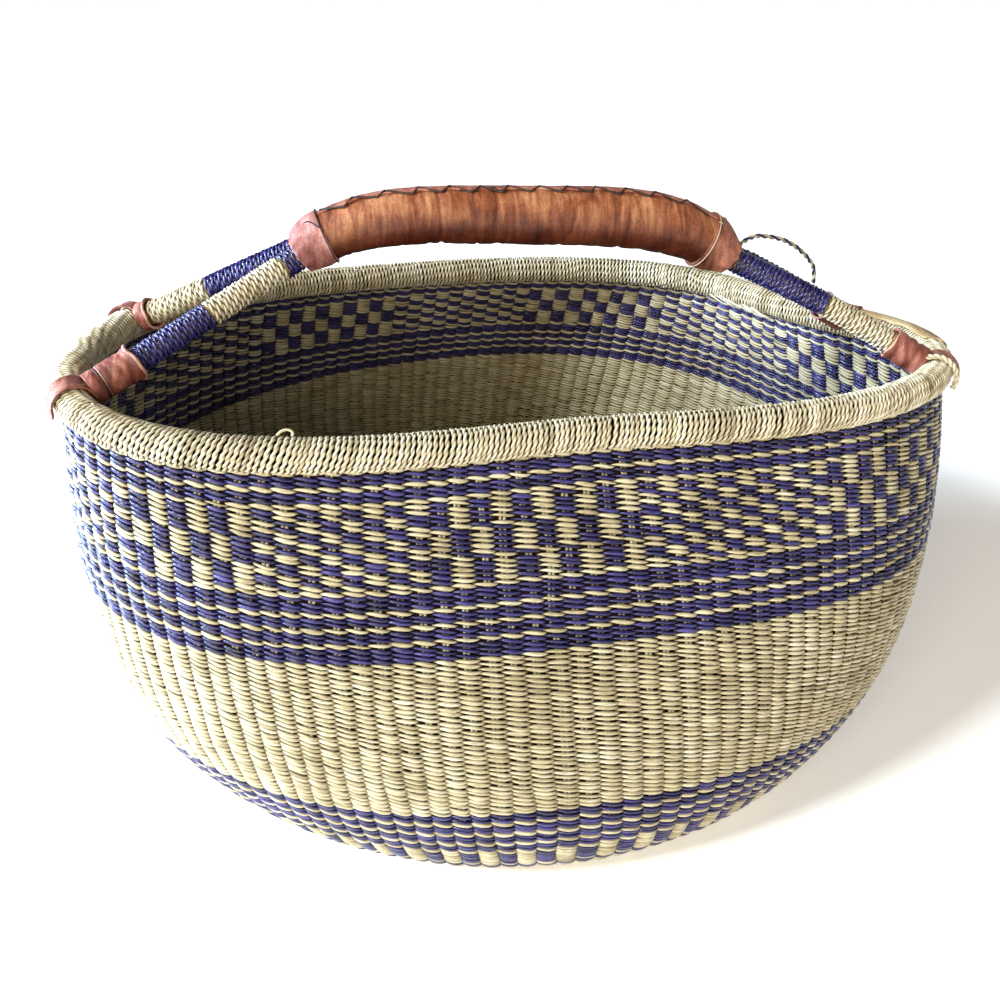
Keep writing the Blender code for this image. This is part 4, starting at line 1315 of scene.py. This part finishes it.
def make_rim_cord():
    """The twisted cord round the rim beside the front right cuff."""
    inward, up, across = cuff_axes("front_right")
    if across[1] > 0:
        across = -across
    aside = 0.0068
    radius = ROPE_RADIUS + 0.0006 + 0.0015
    spin = np.radians(np.linspace(-34, 180, 60))
    path = foot_line("front_right")[0] + across * aside + radius * toward(spin, inward, up)
    way = unit(np.gradient(path, axis=0))
    rings, dist, _ = plies(path, way, square_to(across, way), 0.0008, 0.0007, 0.006, 8)
    mesh = tube_mesh("rim_cord_twist", rings, dist, [NATURAL], tone=np.full((2, len(path) - 1), 0.6))
    link("rim_cord_twist", mesh, "natural_straw", "rim_cord")


def make_hanging_loop():
    """The thin loop of one pale and one navy strand behind the right end of the grip."""
    path = smooth_path([grip_point(GRIP_HALF) + np.array(p) for p in LOOP_ROUTE], 160)
    way = unit(np.gradient(path, axis=0))
    rings, dist, _ = plies(path, way, square_to(UP, way), 0.00065, 0.0006, 0.0095, 8)
    slots = np.zeros((2, len(path) - 1), int)
    slots[1] = 1
    tone = np.full(slots.shape, 0.5)
    link("loop_twist", tube_mesh("loop_twist", rings, dist, [NATURAL, NAVY], slots=slots, tone=tone),
         "navy_straw", "hanging_loop")


def bent_straw(start, lean, length, spoke, middle, end):
    """A short straw that lifts off along spoke as it goes."""
    half_way = start + lean * length * 0.5 + spoke * middle
    return smooth_path([start, half_way, start + lean * length + spoke * end], 7)


def tuft_straw():
    """One straw of the tuft on the back right of the rim."""
    centre, along, down, out = rim_spot(math.radians(RNG.uniform(TUFT_START, TUFT_END)))
    spin = math.radians(RNG.uniform(186, 236))
    spoke = toward(spin, out, -down)
    fall = toward(spin + QUARTER_TURN, out, -down)
    lean = -along * RNG.uniform(0.85, 1.0) + fall * RNG.uniform(0.1, 0.5)
    length = RNG.uniform(0.008, 0.016)
    return bent_straw(centre + spoke * 0.0077, lean, length, spoke, 0.0008, RNG.uniform(0.0006, 0.002))


def rim_straw_end():
    """One short straw end somewhere on the rim."""
    centre, along, down, out = rim_spot(RNG.uniform(0, 2 * np.pi))
    spoke = toward(RNG.uniform(0, 2 * np.pi), out, -down)
    lean = along * RNG.choice([-1, 1]) * RNG.uniform(0.4, 1.0) + down * RNG.uniform(0, 0.5)
    length = RNG.uniform(0.002, 0.004)
    return bent_straw(centre + spoke * 0.0079, lean, length, spoke, 0.0004, RNG.uniform(0, 0.0012))


def collar_straw():
    """One straw end at the mouth of the left collar."""
    start = grip_point(-GRIP_HALF) + RNG.uniform((-0.001, -0.010, 0.002), (0.001, 0.004, 0.007))
    push = RNG.uniform((-0.005, -0.002, 0.0005), (0.0, 0.002, 0.003))
    return smooth_path([start, start + push * 0.5 + (0, 0, 0.0005), start + push], 7)


def make_loose_straw():
    bits = [tuft_straw() for _ in range(34)]
    bits += [rim_straw_end() for _ in range(18)]
    bits += [collar_straw() for _ in range(9)]
    rings = np.stack([sweep(bit, np.linspace(0.00045, 0.00018, 7), 6) for bit in bits])
    mesh = tube_mesh("loose_straw", rings, np.linspace(0, 0.008, 8), [RIM], tone=np.full((len(bits), 7), 0.7))
    link("loose_straw", mesh, "rim_straw", "rim_binding")


def make_little_loop():
    """The little straw loop that stands up from the front of the rim."""
    centre, along, down, _ = rim_spot(math.radians(LITTLE_LOOP))
    spots = ((-0.0035, -0.0082), (-0.0015, -0.0100), (0.0012, -0.0106), (0.0030, -0.0094), (0.0026, -0.0080))
    ring = [centre + along * a + down * d for a, d in spots]
    tube("little_loop", smooth_path(ring, 24), 0.0006, RIM, "rim_straw", corners=7)


def make_base_knot():
    """The little coil of straw that closes the middle of the base."""
    turns = 2.5
    stations = 60
    share = np.linspace(0.0, 1.0, stations)
    turn = 2 * np.pi * turns * share
    reach = 0.0044 * (1.0 - share) + 0.0003
    path = np.stack([reach * np.cos(turn), reach * np.sin(turn), np.full(stations, WALL / 2)], -1)
    tube("base_knot", path, 0.0011, NATURAL, "woven_straw", "woven_body", corners=8)


# Each call draws its random numbers in turn, so another order would change the pieces that follow
make_weave()
make_stakes()
make_heart()
make_rim()
make_rods()
make_windings()
make_grip()
lace_corners = lace_points()
make_flap(lace_corners)
make_lace(lace_corners)
make_collar("left", -1, LEFT_COLLAR_WITH_PAINTED_LIGHT)
make_tie("left", -1, 0.0004, LACE)
make_left_stitch()
make_collar("right", 1, RIGHT_COLLAR_WITH_PAINTED_SHADE)
make_tie("right", 1, 0.0010, THREAD)
make_right_stitches()
for foot_name in FEET:
    make_sleeve(foot_name)
    if foot_name == "front_left":
        make_neck_ties(foot_name)
    make_strap(foot_name)
make_rim_cord()
make_tan_strip()
make_hanging_loop()
make_loose_straw()
make_little_loop()
make_base_knot()

# The rope's core and the grip's padding take the near-black straw: painted shade where the core shows between
# the rim's turns.
for node_name in ("rim_core", "grip_padding"):
    for material_slot in NODES[node_name].material_slots:
        material_slot.material = PAINTED_SHADE_CORE
